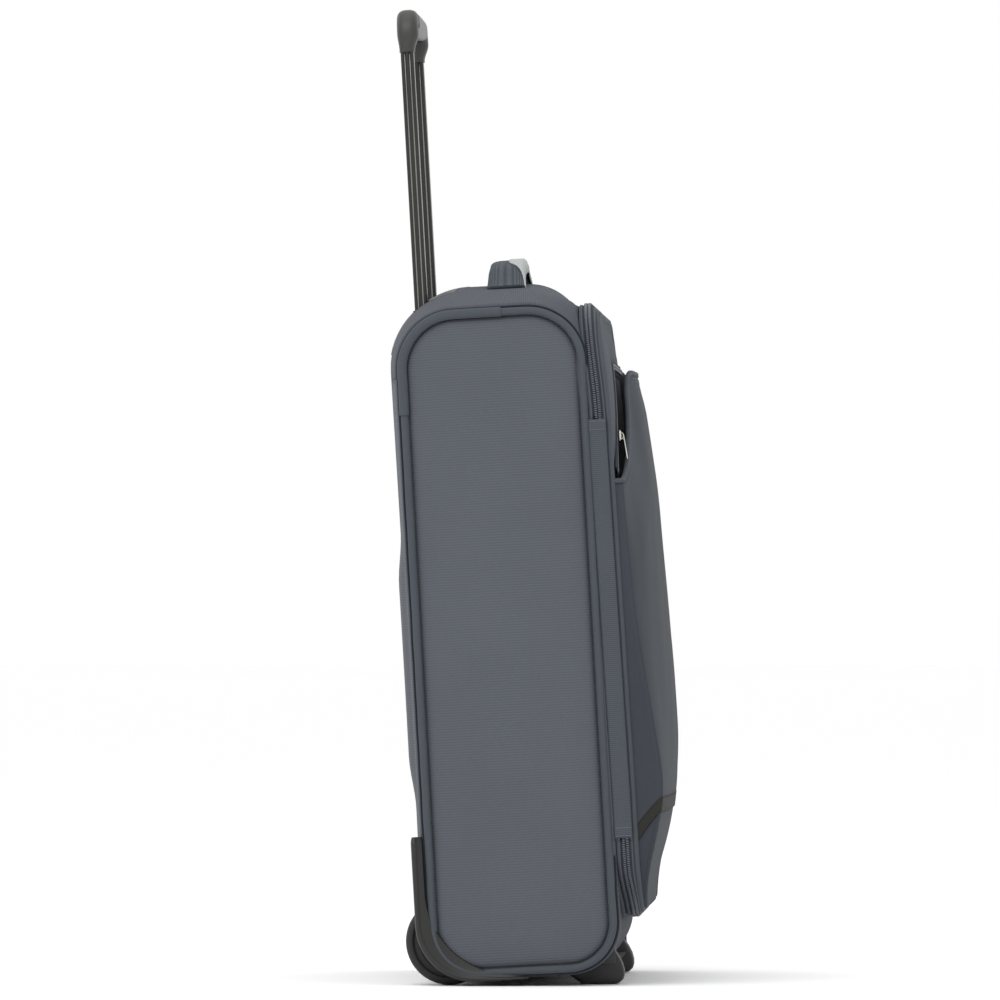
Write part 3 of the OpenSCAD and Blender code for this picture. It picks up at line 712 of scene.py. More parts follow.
def top_section(s):
    """From the back over the rear edge, forward along the top and down to the opening's ring."""
    top = TOP + CROWN * swell(s) - tuck(s)
    rear, x = rear_f(s), cover_x(s)
    r = SIDE_RADII[0] + 16 * MM * swell(s)
    foot = triples(x, rear, [TOP - SIDE_RADII[0] - 6 * MM])
    turns = np.radians(np.linspace(0, 90, 15))
    edge = triples(x, rear + r * (1 - np.cos(turns)), top - r + r * np.sin(turns))
    flank = smoothstep((abs(s) - 0.45) / 0.55)
    start_f = (82 + 2 * flank) * MM
    flat = triples(x, np.linspace(rear + r, start_f, 12)[1:-1], top)
    end = math.radians(60 + 30 * flank)
    ring_x, ring_u = ring_point(s, 1 * MM, True)
    end_f = rim_f(ring_u) + (FRONT - RING_F) * flank * (1 - 0.2 * flank)
    bends = np.linspace(0, end, 15)
    share = (1 - np.cos(bends)) / (1 - math.cos(end))
    brow = triples(x + (ring_x - x) * share, start_f + (end_f - start_f) * np.sin(bends) / math.sin(end),
                   top + (ring_u - top) * share)
    return np.concatenate([foot, edge, flat, brow])


def back_section(s):
    """Up the back, with a pad across its lower part."""
    low, high = BASE + SIDE_RADII[3] - 6 * MM, TOP - SIDE_RADII[0] - 6 * MM
    u = np.linspace(low, high, 60)
    pad = 3.7 * MM * smoothstep((u - 0.10) / 0.04) * smoothstep((0.31 - u) / 0.04)
    pad *= smoothstep((0.9 - abs(s)) / 0.1)
    waist = 1.0 * MM * np.sin((u - low) / (high - low) * math.pi)
    return triples(cover_x(s), rear_f(s) - pad + waist * swell(s), u)


def bottom_section(s):
    """From the opening's ring round the lower front edge, back along the bottom and up into the back."""
    low = BASE - 1.5 * MM * swell(s) + tuck(s)
    rear, front, x = rear_f(s), FRONT - tuck(s), cover_x(s)
    r_front, r_rear = SIDE_RADII[2], SIDE_RADII[3]
    ring_x, ring_u = ring_point(s, 1 * MM, False)
    share = 1 - np.linspace(0, 0.9, 8)
    lip = triples(x + (ring_x - x) * share, front, LID_LO_U + (ring_u - LID_LO_U) * share)
    turns = np.radians(np.linspace(0, 90, 13))
    toe = triples(x, front - r_front + r_front * np.sin(turns), low + r_front * (1 - np.cos(turns)))[::-1]
    flat = triples(x, np.linspace(front - r_front, rear + r_rear, 12)[1:-1], low)
    heel = triples(x, rear + r_rear * (1 - np.sin(turns)), low + r_rear * (1 - np.cos(turns)))
    return np.concatenate([lip, toe, flat, heel])


def behind_wheel(x, f, u):
    """Whether a point lies in a lower rear corner, where the wheel housings are."""
    across = HOUSING_LO[0] + CUT_MARGIN < abs(x) < HOUSING_HI[0] + CUT_MARGIN
    return across and f < HOUSING_HI[1] - CUT_MARGIN and u < HOUSING_HI[2] - CUT_MARGIN


def under_bezel(x, f, u):
    """Whether a point lies under the handle's bezel."""
    across = abs(x) <= BEZEL_HI[0] - CUT_MARGIN
    return across and f <= BEZEL_HI[1] - CUT_MARGIN and u >= BEZEL_LO[2] + CUT_MARGIN


def body_covers():
    """Top, back and bottom covers, open where the housings and the bezel are."""
    for name, section, node, material, is_cut in (
            ("top_cover", top_section, "top_panel", GUSSET, under_bezel),
            ("back_cover", back_section, "back_panel", SIDE, behind_wheel),
            ("bottom_cover", bottom_section, "bottom_panel", GUSSET, behind_wheel)):
        points, faces, uv = cover(section)
        points = points + (smooth_noise(points, 0.16, 3) * 0.45 * MM)[:, None] * [0, 0.7, 0.7]
        faces = [face for face in faces if not is_cut(*points[list(face)].mean(0))]
        obj = new_mesh(name, points, faces, uv)
        finish_piece(obj, "case_body", material, [node], padded=0.3, solidify=2 * MM)


def side_cover(side, name):
    """Crowned foam panel that dives into a groove inside the piping."""
    depths = np.array([5.2, 6.2, 6.9, 7.5, 8.1, 8.8, 9.6, 10.6, 12, 14, 17, 21, 26, 32]) * MM
    lo, hi = np.array([REAR, BASE]), np.array([FRONT, TOP])
    flat, faces = patch(lo, hi, SIDE_RADII, 28, 110, depths)
    d = edge_distance(flat, lo, hi, SIDE_RADII)
    groove, groove_rise = 7.5 * MM, 1.2 * MM
    rise = groove_rise + np.where(d < groove, 2.4 * MM * ((groove - d) / (2.3 * MM)) ** 2,
                                  4.6 * MM * (1 - np.exp(-(d - groove) / (2.4 * MM))))
    share_f, share_u = ((flat - (lo + hi) / 2) / ((hi - lo) / 2)).T
    rise += 2.4 * MM * (1 - np.abs(share_f) ** 3) * (1 - share_u ** 8) * smoothstep((d - 9 * MM) / (20 * MM))
    points = triples(0.0, flat[:, 0], flat[:, 1])
    rise += smooth_noise(points, 0.13, 11 + side) * 0.3 * MM * smoothstep((d - 12 * MM) / (22 * MM))
    points[:, 0] = side * (EDGE_X + rise)
    if side < 0:
        faces = [f[::-1] for f in faces]
    obj = new_mesh(f"side_cover_{name}", points, faces, flat)
    finish_piece(obj, "case_body", SIDE, [f"side_panel_{name}"], padded=0.3)


def side_piping(side, name):
    """Corded piping, a dark cord just outside it as painted shade of the groove there, and the smooth binding sewn
    over it at the top rear corner.
    """
    centre, normal = corner_loop((REAR + PIPING_R, BASE + PIPING_R), (FRONT - PIPING_R, TOP - PIPING_R),
                                 SIDE_RADII - PIPING_R, 3 * MM)
    wobble = smooth_noise(triples(centre[:, 0], centre[:, 1], 0), 0.03, 5) * 0.12 * MM
    moved = centre + normal * wobble[:, None]
    path = triples(side * (PIPING_X + 1.0 * MM), moved[:, 0], moved[:, 1])
    out = triples(0, normal[:, 0], normal[:, 1])
    sideways = np.tile([side * 1.0, 0, 0], (len(path), 1))
    obj = sweep(f"side_piping_{name}", path, out, sideways, circle_section(CORD_R), closed=True)
    finish_piece(obj, "case_body", BINDING, [f"piping_{name}"])
    # Dark cord just outside the piping: painted shade of the groove between the piping and the cover.
    seam = path + out * (CORD_R + 0.7 * MM) - [side * 1.2 * MM, 0, 0]
    obj = sweep(f"side_seam_shade_{name}", seam, out, sideways, circle_section(1.0 * MM, 8), closed=True)
    finish_piece(obj, "case_body", SEAM_SHADE)
    lo, hi = case_box("corner_binding_right")
    bound = (centre[:, 1] > lo[2]) & (centre[:, 0] < hi[1])
    obj = sweep(f"corner_binding_{name}", path[bound], out[bound], sideways[bound],
                circle_section(CORD_R + 0.9 * MM, 16), closed=False)
    finish_piece(obj, "case_body", BINDING, [f"corner_binding_{name}"])


body_covers()
for which, which_name in SIDES:
    side_cover(which, which_name)
    side_piping(which, which_name)


# ------------------------------------------------------------------ bands that follow the lid's outline
def open_at_gap(loop, normals):
    """The outline without its stretch along the fabric hinge, from one end of that gap round to the other."""
    left = loop[:, 0] < loop[:, 0].min() + 1 * MM
    keep = ~(left & (loop[:, 1] > GAP[0]) & (loop[:, 1] < GAP[1]))
    start = np.nonzero(keep & ~np.roll(keep, 1))[0][0]
    order = (start + np.arange(len(loop))) % len(loop)
    order = order[keep[order]]
    return loop[order], normals[order]


def ring_band(name, profile, is_open=False):
    """Lofts a profile of (f, grow), in millimetres from the zip's split line, round the lid's outline."""
    step = 4 * MM
    loop, normal = ring_loop(0.0, step)
    if is_open:
        loop, normal = open_at_gap(loop, normal)
    profile = np.array(profile) * MM + [SPLIT_F, 0]
    along = arc_length(loop, closed=False)
    grown = loop[:, None] + normal[:, None] * profile[None, :, 1:]
    points = opening_warp(triples(grown[..., 0], profile[:, 0], grown[..., 1]))
    uv = uv_grid(along, arc_length(profile, closed=False))
    if not is_open:
        points, uv = np.vstack([points, points[:1]]), np.vstack([uv, uv[:1] + [along[-1] + step, 0]])
    return grid_mesh(name, points, uv)


def ring_cord(name, f, inset, r):
    """Round cord along the outline."""
    loop, normal = ring_loop(-inset, 3 * MM)
    sag = smooth_noise(triples(loop[:, 0], loop[:, 1], 0), 0.04, 9) * 0.15 * MM
    path = opening_warp(triples(loop[:, 0], f + sag, loop[:, 1]))
    out = triples(normal[:, 0], 0, normal[:, 1])
    return sweep(name, path, out, np.tile([0, 1.0, 0], (len(loop), 1)), circle_section(r), closed=True)


def ring_out(p):
    """Outward direction of the lid's outline at a point."""
    cx = np.clip(p[0], -LID_X + LID_R, LID_X - LID_R)
    cu = np.clip(p[2], LID_LO_U + LID_R, LID_HI_U - LID_R)
    return unit(np.array([p[0] - cx, 0, p[2] - cu]))


def main_zip():
    """Both tapes and rows of teeth of the zip that closes the lid, open along the fabric hinge."""
    flange = ring_band("flange_cover", (
        (-13.1, -9), (-12.9, -3), (-12.1, -0.5), (-10.6, 1.0), (-9.0, 1.5), (-8.0, 1.0),
        (-7.3, -1.0), (-6.7, -1.0), (-6.1, 0.9), (-5.4, 1.5), (-4.6, 1.5), (-4.2, 0.9)))
    finish_piece(flange, "case_body", GUSSET, ["front_flange"], solidify=1.2 * MM, padded=0.2)
    tapes = (("body_zip", "case_body", ((-4.6, 0.6), (-4.0, 1.1), (-3.2, 1.3), (-1.6, 1.3), (-0.2, 1.0))),
             ("lid_zip", "lid", ((0.2, 1.0), (1.6, 1.3), (3.0, 1.3), (4.0, 0.9), (4.8, 0.2))))
    for node, body, profile in tapes:
        tape = ring_band(f"{node}_tape", profile, is_open=True)
        finish_piece(tape, body, TAPE, [node], solidify=0.7 * MM)
    half, pitch = np.array([1.25, 0.52, 0.7]) * MM, 1.7 * MM
    loop, _ = open_at_gap(*ring_loop(2.4 * MM, 2 * MM))
    for node, body, ahead, start in (("body_zip", "case_body", -1.35 * MM, 0.0),
                                     ("lid_zip", "lid", 1.35 * MM, pitch / 2)):
        line = opening_warp(triples(loop[:, 0], SPLIT_F + ahead, loop[:, 1]))
        zip_teeth(f"{node}_teeth", line, body, ring_out, pitch, half, start)
    back = ring_band("lid_edge_cover", (
        (1.6, -2.6), (2.4, -1.2), (3.2, 0.4), (4.2, 0.7), (4.9, 0.2), (5.3, -1.6), (6.0, -3.6), (7.0, -4.6)))
    finish_piece(back, "lid", GUSSET, ["lid_gusset"], solidify=1.0 * MM, padded=0.2)
    cord = ring_cord("lid_edge_piping", LID_PIPING_F, 2.6 * MM, 2.4 * MM)
    finish_piece(cord, "lid", BINDING, ["lid_piping"])


def fabric_hinge():
    """Ribbed strip sewn from the body to the lid in place of the zip, hemmed at both ends."""
    low, high = strip_lo[2] - 2 * MM, strip_hi[2] + 2 * MM
    f_lo, width = SPLIT_F - 7.6 * MM, 12.8 * MM

    def surface(t, u, lift):
        """Points at a share t across the strip and height u."""
        dome = 1.1 * MM * np.sin(math.pi * t) ** 0.35
        return opening_warp(triples(-(LID_X + dome + lift), f_lo + width * t, u))

    u, t = np.meshgrid(np.linspace(low, high, 160), np.linspace(0, 1, 17), indexing="ij")
    end = np.minimum(u - low, high - u)
    hem = 0.8 * MM * (1 - smoothstep((end - 8 * MM) / (1.2 * MM)))
    hem -= 0.7 * MM * (1 - smoothstep(end / (0.8 * MM)))
    slack = 0.25 * MM * np.sin(u * 90) * np.sin(math.pi * t)
    strip = grid_mesh("hinge_fabric", surface(t, u, 1.9 * MM + hem + slack), np.stack([t * width, u], -1))
    finish_piece(strip, None, GUSSET, ["hinge_strip"], solidify=0.8 * MM)
    near, far = 1.6 * MM, 7.6 * MM
    across = np.linspace(0.05, 0.95, 14)
    threads = [surface(across, at, 3.1 * MM) for at in (low + near, low + far, high - near, high - far)]
    thread = stitches("hinge_hem_stitches", threads, None, (-1, 0, 0), pitch=1.7 * MM)
    start, end = (tuple(to_world([(-LID_X, SPLIT_F + f, 230 * MM)])[0]) for f in (-4.4 * MM, 4.4 * MM))
    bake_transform(strip)
    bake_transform(thread)


# ------------------------------------------------------------------ lid and pocket
LID_FACE = case_box("lid_panel")[0][1]
pocket_lo, pocket_hi = case_box("pocket_panel", "black_band", "lower_panel")
POCKET_X = pocket_hi[0]
MOUTH_U = pocket_hi[2]
SEAM_U = case_box("lower_panel")[1][2]
BAND_U = case_box("black_band")[1][2]
POCKET_LO_U = pocket_lo[2]
MOUTH_LOW_U = 330 * MM
MOUTH_X = -70 * MM
MOUTH_CURL = 7 * MM
POCKET_F = LID_FACE + 3.0 * MM
POCKET_R = LID_R - 4 * MM
# Front of the pocket at the middle and at the folds beside the gussets, as (u, f) in millimetres
MIDDLE_LINE = np.array([(16, 150), (39, 153), (69, 164.5), (100, 171), (138, 174.8), (207, 174.8), (268, 173),
                        (330, 171), (407, 163.2), (422, 157.5)]) * MM
FOLD_LINE = np.array([(16, 149.2), (39, 151), (70, 160), (100, 167), (119, 167.5), (138, 165), (175, 160.5),
                      (207, 156.6), (245, 152.9), (290, 150.8), (330, 149.6), (422, 149.2)]) * MM


def mouth_u(x):
    """Height of the pocket's mouth at a place across it."""
    slope = (MOUTH_U - MOUTH_LOW_U) / (MOUTH_X + POCKET_X)
    curl = MOUTH_CURL * smoothstep(1 - (x + POCKET_X) / (26 * MM))
    return np.minimum(MOUTH_U, MOUTH_LOW_U + (x + POCKET_X) * slope + curl)


def half_width(u):
    """Half the pocket's width at a height: it follows the lid's lower corners."""
    low = np.maximum(LID_LO_U + 4 * MM + POCKET_R - u, 0)
    corner = LID_X - LID_R + np.sqrt(np.maximum(POCKET_R ** 2 - low ** 2, 0))
    return np.where(low > 0, corner, POCKET_X)


def eased(u, line):
    """Smooth curve through a line's points."""
    span = 14 * MM
    return sum(np.interp(u + k * span, line[:, 0], line[:, 1]) for k in (-1, -0.5, 0, 0.5, 1)) / 5


def pocket_front(s, u):
    """The pocket's front face at s across its width, -1 to 1, and height u: x and f."""
    x = s * half_width(u)
    middle, fold = eased(u, MIDDLE_LINE), eased(u, FOLD_LINE)
    belly = (1 - np.abs(s) ** 2.7) ** 0.75
    drop = smoothstep(1 - (mouth_u(x) - u) / (75 * MM)) * smoothstep((MOUTH_X + 30 * MM - x) / (55 * MM))
    f = fold + (middle - fold) * belly * (1 - 0.6 * drop)
    drape = np.sin(x * 46 + u * 9) * np.sin(u * 21 + 1.3) * 0.5 * MM + np.sin(x * 95 - u * 30) * 0.22 * MM
    return x, f + drape * smoothstep((1 - np.abs(s)) / 0.2) * smoothstep((u - BAND_U) / (50 * MM))


def gusset_point(side, t, u):
    """A point of the side gusset, t from the lid (0) to the fold (1): x and f."""
    fold = eased(u, FOLD_LINE)
    x = half_width(u) - 2.2 * MM * np.sin(math.pi * t) * smoothstep((fold - 150 * MM) / (12 * MM)) + 0.4 * MM
    start = opening_warp([x, POCKET_F - 2.5 * MM, u])[1]
    return side * x, start + (fold - start) * t


def wrap(low, high, rows, offset=0.0):
    """Points and UVs of a surface over the left gusset, the front and the right gusset, between two curves.
    The curves give u at a place across: -1 to 1 on the front, and on to -2 or 2 on the gussets."""
    front = np.sin(np.linspace(-1, 1, 97) * math.pi / 2)
    gusset = np.linspace(0, 1, 9)
    stations = [(-1, k) for k in gusset] + [(0, k) for k in front] + [(1, k) for k in gusset[::-1]]
    points = []
    for t in np.linspace(0, 1, rows + 1):
        row = []
        for side, k in stations:
            across = side * (2 - k) if side else k
            u = low(across) + (high(across) - low(across)) * t
            x, f = gusset_point(side, k, u) if side else pocket_front(k * 0.9995, u)
            row.append((x + side * offset, f + (0 if side else offset), u))
        points.append(row)
    points = np.array(points, float)
    along = np.array([arc_length(row, closed=False) for row in points])
    return points, np.stack([along - along[:, -1:] / 2, points[..., 2]], -1)


def lid_cover():
    """The lid's face: flat behind the pocket, padded above it, its border turned back to the piping."""
    inset, turn = 2.8 * MM, 2.4 * MM
    lo, hi = np.array([-LID_X + inset, LID_LO_U + inset]), np.array([LID_X - inset, LID_HI_U - inset])
    radii = np.full(4, LID_R - inset)
    depths = np.array([0, 0.3, 0.8, 1.5, 2.4, 3.4, 4.6, 6, 8, 11, 15, 20, 26, 33, 41, 48]) * MM
    flat, faces = patch(lo, hi, radii, 64, 74, depths)
    from_edge = edge_distance(flat, lo, hi, radii)
    d = np.maximum(from_edge - turn, 0)
    above = smoothstep((flat[:, 1] - mouth_u(flat[:, 0]) + 4 * MM) / (24 * MM))
    points = triples(flat[:, 0], LID_FACE - 0.4 * MM, flat[:, 1])
    rise = 3.4 * MM * (1 - np.exp(-(d + 0.4 * MM) / (3.5 * MM)))
    rise += 1.6 * MM * above * smoothstep(d / (34 * MM))
    rise += smooth_noise(points, 0.1, 21) * 0.4 * MM * above
    points[:, 1] += rise
    points[:, 1] -= (points[:, 1] - LID_PIPING_F) * (1 - np.sqrt(np.clip(from_edge / turn, 0, 1)))
    obj = new_mesh("lid_cover", opening_warp(points), faces, flat)
    finish_piece(obj, "lid", FACE, ["lid_panel"], padded=0.4)


def pocket():
    """Pocket, band and lower panel, each one sheet from gusset to gusset, and the cord of the mouth."""
    def top(a):
        if abs(a) <= 1:
            return float(mouth_u(a * POCKET_X))
        if a < 0:
            return MOUTH_LOW_U + MOUTH_CURL
        return MOUTH_U + 7 * MM * math.sin(math.pi * min(a - 1, 0.75))

    def slanted(front, rear):
        return lambda a: front if abs(a) <= 1 else front - (front - rear) * (abs(a) - 1)

    rise = 3 * MM
    band_high, band_low = slanted(BAND_U + rise, 77 * MM), slanted(SEAM_U + rise, 64 * MM)
    sheet_piece("pocket_cover", *wrap(band_high, top, 90), POCKET, "lid_fabric",
                ["pocket_panel", "pocket_sides"], 1.6 * MM, "draped", ["lid_cover"])
    sheet_piece("pocket_band", *wrap(band_low, band_high, 6, 0.5 * MM), BAND, "band_fabric", ["black_band"],
                1.2 * MM, "stretched", ["pocket_cover", "lower_cover"])
    sheet_piece("lower_cover", *wrap(lambda a: POCKET_LO_U, band_low, 50, -0.9 * MM), POCKET, "lid_fabric",
                ["lower_panel"], 1.6 * MM, "stretched", ["lid_cover"])
    mouth_cord()


def mouth_cord():
    """Corded edge along the pocket's mouth, a little loose, with its stitching below."""
    s = np.linspace(-1, 1, 150)
    soft = smoothed(mouth_u(s * POCKET_X), 4)
    x, f = pocket_front(s * 0.9995, soft)
    lift = 0.6 * MM * np.sin(np.clip((s + 1) / 0.75, 0, 1) * math.pi)
    edge = np.array([gusset_point(-1, t, soft[0]) for t in np.linspace(0.1, 0.97, 14)])
    gusset = triples(edge[:, 0] - 0.4 * MM, edge[:, 1], soft[0] + 0.4 * MM)
    path = np.vstack([gusset, triples(x, f + lift, soft + 0.4 * MM)])
    finish_piece(cord_along("pocket_mouth_cord", path, 1.9 * MM, 12), "lid", BINDING)
    lines = []
    for below in (soft - 4.0 * MM, soft - 6.0 * MM):
        x, f = pocket_front(s * 0.99, below)
        lines.append(triples(x, f + 0.9 * MM, below))
    stitches("pocket_mouth_stitches", lines, "lid", (0, 1, 0), pitch=3.0 * MM)


main_zip()
fabric_hinge()
lid_cover()
pocket()


# ------------------------------------------------------------------ carry handle
def carry_handle():
    """Ribbed padded strap arched over the top, with a pale strip along its front edge."""
    lo, hi = case_box("carry_handle")
    mid_f, half_f = (lo[1] + hi[1]) / 2, (hi[1] - lo[1]) / 2
    reach, crest = hi[0], hi[2]
    rows, cols, over_cols, down_cols = 97, 36, 9, 4
    points, uv, strip, strip_uv = [], [], [], []
    for x in np.linspace(-reach, reach, rows):
        s = abs(x) / reach
        thick = 4.4 * MM * (1 - smoothstep((s - 0.62) / 0.38)) + 1.3 * MM
        centre = crest - 4.6 * MM - 13.4 * MM * s ** 2 - 4.0 * MM * smoothstep((s - 0.7) / 0.3)
        half = half_f - 1.2 * MM * math.sin(math.pi * min(s, 1))
        for k in range(cols):
            t = 2 * math.pi * k / cols
            f = mid_f + half * rounded_power(math.cos(t), 0.55)
            points.append((x, f, centre + thick * rounded_power(math.sin(t), 0.75)))
            uv.append((x, k / cols * 4 * half_f))
        edge = mid_f + half
        width = 11.5 * MM * (1 - smoothstep((s - 0.45) / 0.47)) + 0.4 * MM
        for f in np.linspace(edge - width, edge + 0.5 * MM, over_cols):
            over = max(0.0, (f - (edge - 3 * MM)) / (3.5 * MM))
            strip.append((x, f, centre + thick + 0.55 * MM - (thick + 0.6 * MM) * over ** 2.2))
            strip_uv.append((f, x))
        for k in range(down_cols):
            strip.append((x, edge + 0.5 * MM, centre - thick * k / down_cols - 0.3 * MM))
            strip_uv.append((edge + k * MM, x))
    faces = grid_faces(rows, cols, loop_cols=True) + end_caps(rows, cols, cols)
    obj = new_mesh("handle_strap", points, faces, uv)
    weld(obj)
    finish_piece(obj, "case_body", HANDLE, ["carry_handle"], padded=0.5)
    obj = new_mesh("handle_strip", strip, grid_faces(rows, over_cols + down_cols), strip_uv)
    finish_piece(obj, "case_body", STRIP, solidify=0.7 * MM)


# ------------------------------------------------------------------ telescopic handle
GROOVE_DEPTH, GROOVE_HALF, GROOVE_AT = 0.55 * MM, 0.75 * MM, 0.19


def grooved_profile(w, d):
    """Tube section in (x, f) with two grooves down each side face."""
    r = 1.6 * MM
    points = []
    for cx, cy, start in ((1, 1, 0), (-1, 1, 90), (-1, -1, 180), (1, -1, 270)):
        for turn in np.radians(start + np.linspace(0, 90, 5)):
            points.append((cx * (w / 2 - r) + r * math.cos(turn), cy * (d / 2 - r) + r * math.sin(turn)))
    out = []
    for p, q in zip(points, points[1:] + points[:1]):
        out.append(p)
        if abs(p[0] - q[0]) < 1e-9 and abs(p[1] - q[1]) > 3 * r / 2:
            sign, way = math.copysign(1, p[0]), math.copysign(1, q[1] - p[1])
            for at in (-GROOVE_AT * d * way, GROOVE_AT * d * way):
                for off, sink in ((-1, 0), (-0.6, GROOVE_DEPTH), (0.6, GROOVE_DEPTH), (1, 0)):
                    out.append((p[0] - sign * sink, at + way * off * GROOVE_HALF))
    return np.array(out)


def telescope(name, node, body, highlight_lines=True):
    """A tube with grooves and, unless turned off, pale metal strips at the bottoms of its grooves: painted
    highlight lines that stand for the glints on the groove edges, partly real reflection of the metal.
    """
    lo, hi = case_box(node)
    mid, (w, d, height) = (lo + hi) / 2, hi - lo
    wall, rim = 1.1 * MM, 0.5 * MM
    outline = grooved_profile(w - 0.05 * MM, d - 0.05 * MM)
    inner = outline * (1 - 2 * wall / w, 1 - 2 * wall / d)
    rings = [(inner, lo[2]), (outline, lo[2]), (outline, lo[2] + rim)]
    rings += [(outline, u) for u in np.linspace(lo[2], hi[2], 13)[1:-1]]
    rings += [(outline, hi[2] - rim), (outline, hi[2]), (inner, hi[2])]
    points = [triples(mid[0] + ring[:, 0], mid[1] + ring[:, 1], u) for ring, u in rings]
    faces = grid_faces(len(rings), len(outline), loop_rows=True, loop_cols=True)
    obj = new_mesh(name, points, faces, smooth=False)
    weld(obj)
    finish_piece(obj, body, TUBE, [node])
    if not highlight_lines:
        return
    # Pale metal strips in the grooves: painted highlight lines.
    place = []
    for side, _ in SIDES:
        for at in (-GROOVE_AT * d, GROOVE_AT * d):
            origin = mid + [side * (w / 2 - GROOVE_DEPTH * 0.75), at, 0]
            place.append((origin, (0, 1.0, 0), (0, 0, 1.0), (side * 1.0, 0, 0)))
    lines = many(f"{name}_lines", place, *pill(GROOVE_HALF * 0.75, height / 2 - 0.3 * MM, 0.25 * MM))
    finish_piece(lines, body, TUBE_HIGHLIGHT_LINE)


shell_lo, shell_hi = case_box("grip_shell")
BAR_HALF = 8.5 * MM
BAR_F, BAR_U = (shell_lo[1] + shell_hi[1]) / 2, shell_hi[2] - BAR_HALF
BAR_POWER = 0.72


def grip_stations(leg_x, well):
    """Left half of the loop: x, u, how far it runs across and up, and the share of the leg's length."""
    bend = 11 * MM
    bend_u = BAR_U - bend
    stations = [(-leg_x, u, 0.0, 1.0, (u - shell_lo[2]) / (bend_u - shell_lo[2]))
                for u in np.linspace(shell_lo[2], bend_u, 10)]
    for t in np.radians(np.linspace(0, 90, 10))[1:]:
        across, up = math.sin(t), math.cos(t)
        stations.append((-leg_x + bend * (1 - up), bend_u + bend * across, across, up, 1.0))
    lip = 0.3 * MM
    for x in (-60 * MM, -45 * MM, -32 * MM, -well - lip, -well, -well + lip, -12 * MM, 0):
        stations.append((x, BAR_U, 1.0, 0.0, 1.0))
    return stations


def grip():
    """Loop grip: legs that widen upwards into a rounded bar, with a well for the button."""
    button_lo, button_hi = case_box("grip_button")
    tube_lo, tube_hi = case_box("upper_tube_right")
    leg_x, leg_f, _ = (tube_lo + tube_hi) / 2
    well, play, cap_u = button_hi[0] + 0.4 * MM, 0.35 * MM, button_lo[2] + 7.7 * MM
    stations = grip_stations(leg_x, well)
    stations += [(-x, u, -across, up, t) for x, u, across, up, t in reversed(stations[:-1])]
    rings = []
    for x, u, across, up, t in stations:
        half_f = (5.9 + 2.3 * smoothstep((t - 0.1) / 0.9)) * MM
        half_n = BAR_HALF + (0.1 * MM * (1 - t) if abs(across) < 1 else 0.0)
        centre_f = leg_f + (BAR_F - leg_f) * smoothstep(t)
        ring = []
        for turn in np.linspace(0, 2 * math.pi, 44, endpoint=False):
            f = centre_f + half_f * rounded_power(math.cos(turn), BAR_POWER)
            n = half_n * rounded_power(math.sin(turn), BAR_POWER)
            sink = 0.0
            at_button = button_lo[1] - play < f < button_hi[1] + play
            if at_button and abs(x) < well + 0.01 * MM and up == 0 and math.sin(turn) > 0.2:
                sink = max(0.0, u + n - (cap_u - 4.0 * MM))
            ring.append((x + n * (-up if x < 0 else up), f, u + n * abs(across) - sink))
        rings.append(ring)
    loft("grip_loop", rings, "upper_stage", GRIP, ["grip_shell"])


def grip_pad():
    """Softer paler insert along the front and underside of the bar."""
    reach = case_box("grip_cover")[1][0]
    points = []
    for s in np.linspace(-1, 1, 41):
        spread = 120 * (0.25 + 0.75 * math.sqrt(max(0.0, 1 - abs(s) ** 4)))
        row = []
        for t in np.linspace(0, 1, 13):
            a = math.radians(-28 + (t - 0.5) * spread)
            rise = (0.55 * math.sin(math.pi * t) + 0.05) * MM
            df = (8.2 * MM + rise) * rounded_power(math.cos(a), BAR_POWER)
            du = (BAR_HALF + rise) * rounded_power(math.sin(a), BAR_POWER)
            row.append((reach * math.sin(s * math.pi / 2), BAR_F + df, BAR_U + du))
        points.append(row)
    obj = grid_mesh("grip_pad", points)
    finish_piece(obj, "upper_stage", GRIP_LIGHT, ["grip_cover"], solidify=0.5 * MM)


# ------------------------------------------------------------------ guards, wheels, feet
def guard_curve(inset_f, inset_u, r, count):
    """From the top of the rear edge down round the corner and forward, as points in (f, u)."""
    lo, hi = case_box("corner_guard_right")
    left, low = lo[1] + inset_f, lo[2] + inset_u
    arc = math.pi / 2 * r
    down, ahead = hi[2] - (low + r), max(hi[1] - (left + r), 1 * MM)
    line = []
    for along in np.linspace(0, down + arc + ahead, count):
        if along < down:
            line.append((left, hi[2] - along))
        elif along < down + arc:
            a = math.pi + (along - down) / r
            line.append((left + r + r * math.cos(a), low + r + r * math.sin(a)))
        else:
            line.append((left + r + along - down - arc, low))
    return np.array(line)


def corner_guard(side, name):
    """Moulded crescent with a rounded rim, a faint ridge and thin ends."""
    lo, hi = case_box("corner_guard_right")
    count = 90
    outer = guard_curve(0, 0, 44 * MM, count)
    inner = guard_curve(9.0 * MM, 4.7 * MM, 64 * MM, count)
    rings = []
    for o, i, t in zip(outer, inner, np.linspace(0, 1, count)):
        end = min(t, 1 - t)
        height = (hi[0] - lo[0]) * (0.72 + 0.28 * smoothstep(end / 0.10)) * (0.82 if end < 0.012 else 1)
        width = np.linalg.norm(i - o)
        way = (i - o) / width
        if t < 0.03:
            blunt = 1 - math.sqrt(1 - (1 - (t + 0.006) / 0.036) ** 2)
            o = o + way * width * 0.22 * blunt
            width *= 1 - 0.44 * blunt
        bead = min(4.6 * MM, width * 0.45)
        section = ((0.0, 0.62), (0.5 * MM, 0.86), (bead * 0.35, 0.98), (bead * 0.6, 1), (bead * 0.85, 0.97),
                   (bead * 1.05, 0.86), (bead * 1.2, 0.8), (width - 1.0 * MM, 0.76), (width - 0.3 * MM, 0.68),
                   (width, 0.5))
        hidden_x = lo[0] - 2 * MM
        section = [(a, lo[0] + height * share) for a, share in section]
        section = [(0.0, hidden_x)] + section + [(width, hidden_x)]
        rings.append([(side * x, *(o + way * a)) for a, x in section])
    loft(f"guard_{name}", rings, "case_body", SHELL, [f"corner_guard_{name}"])


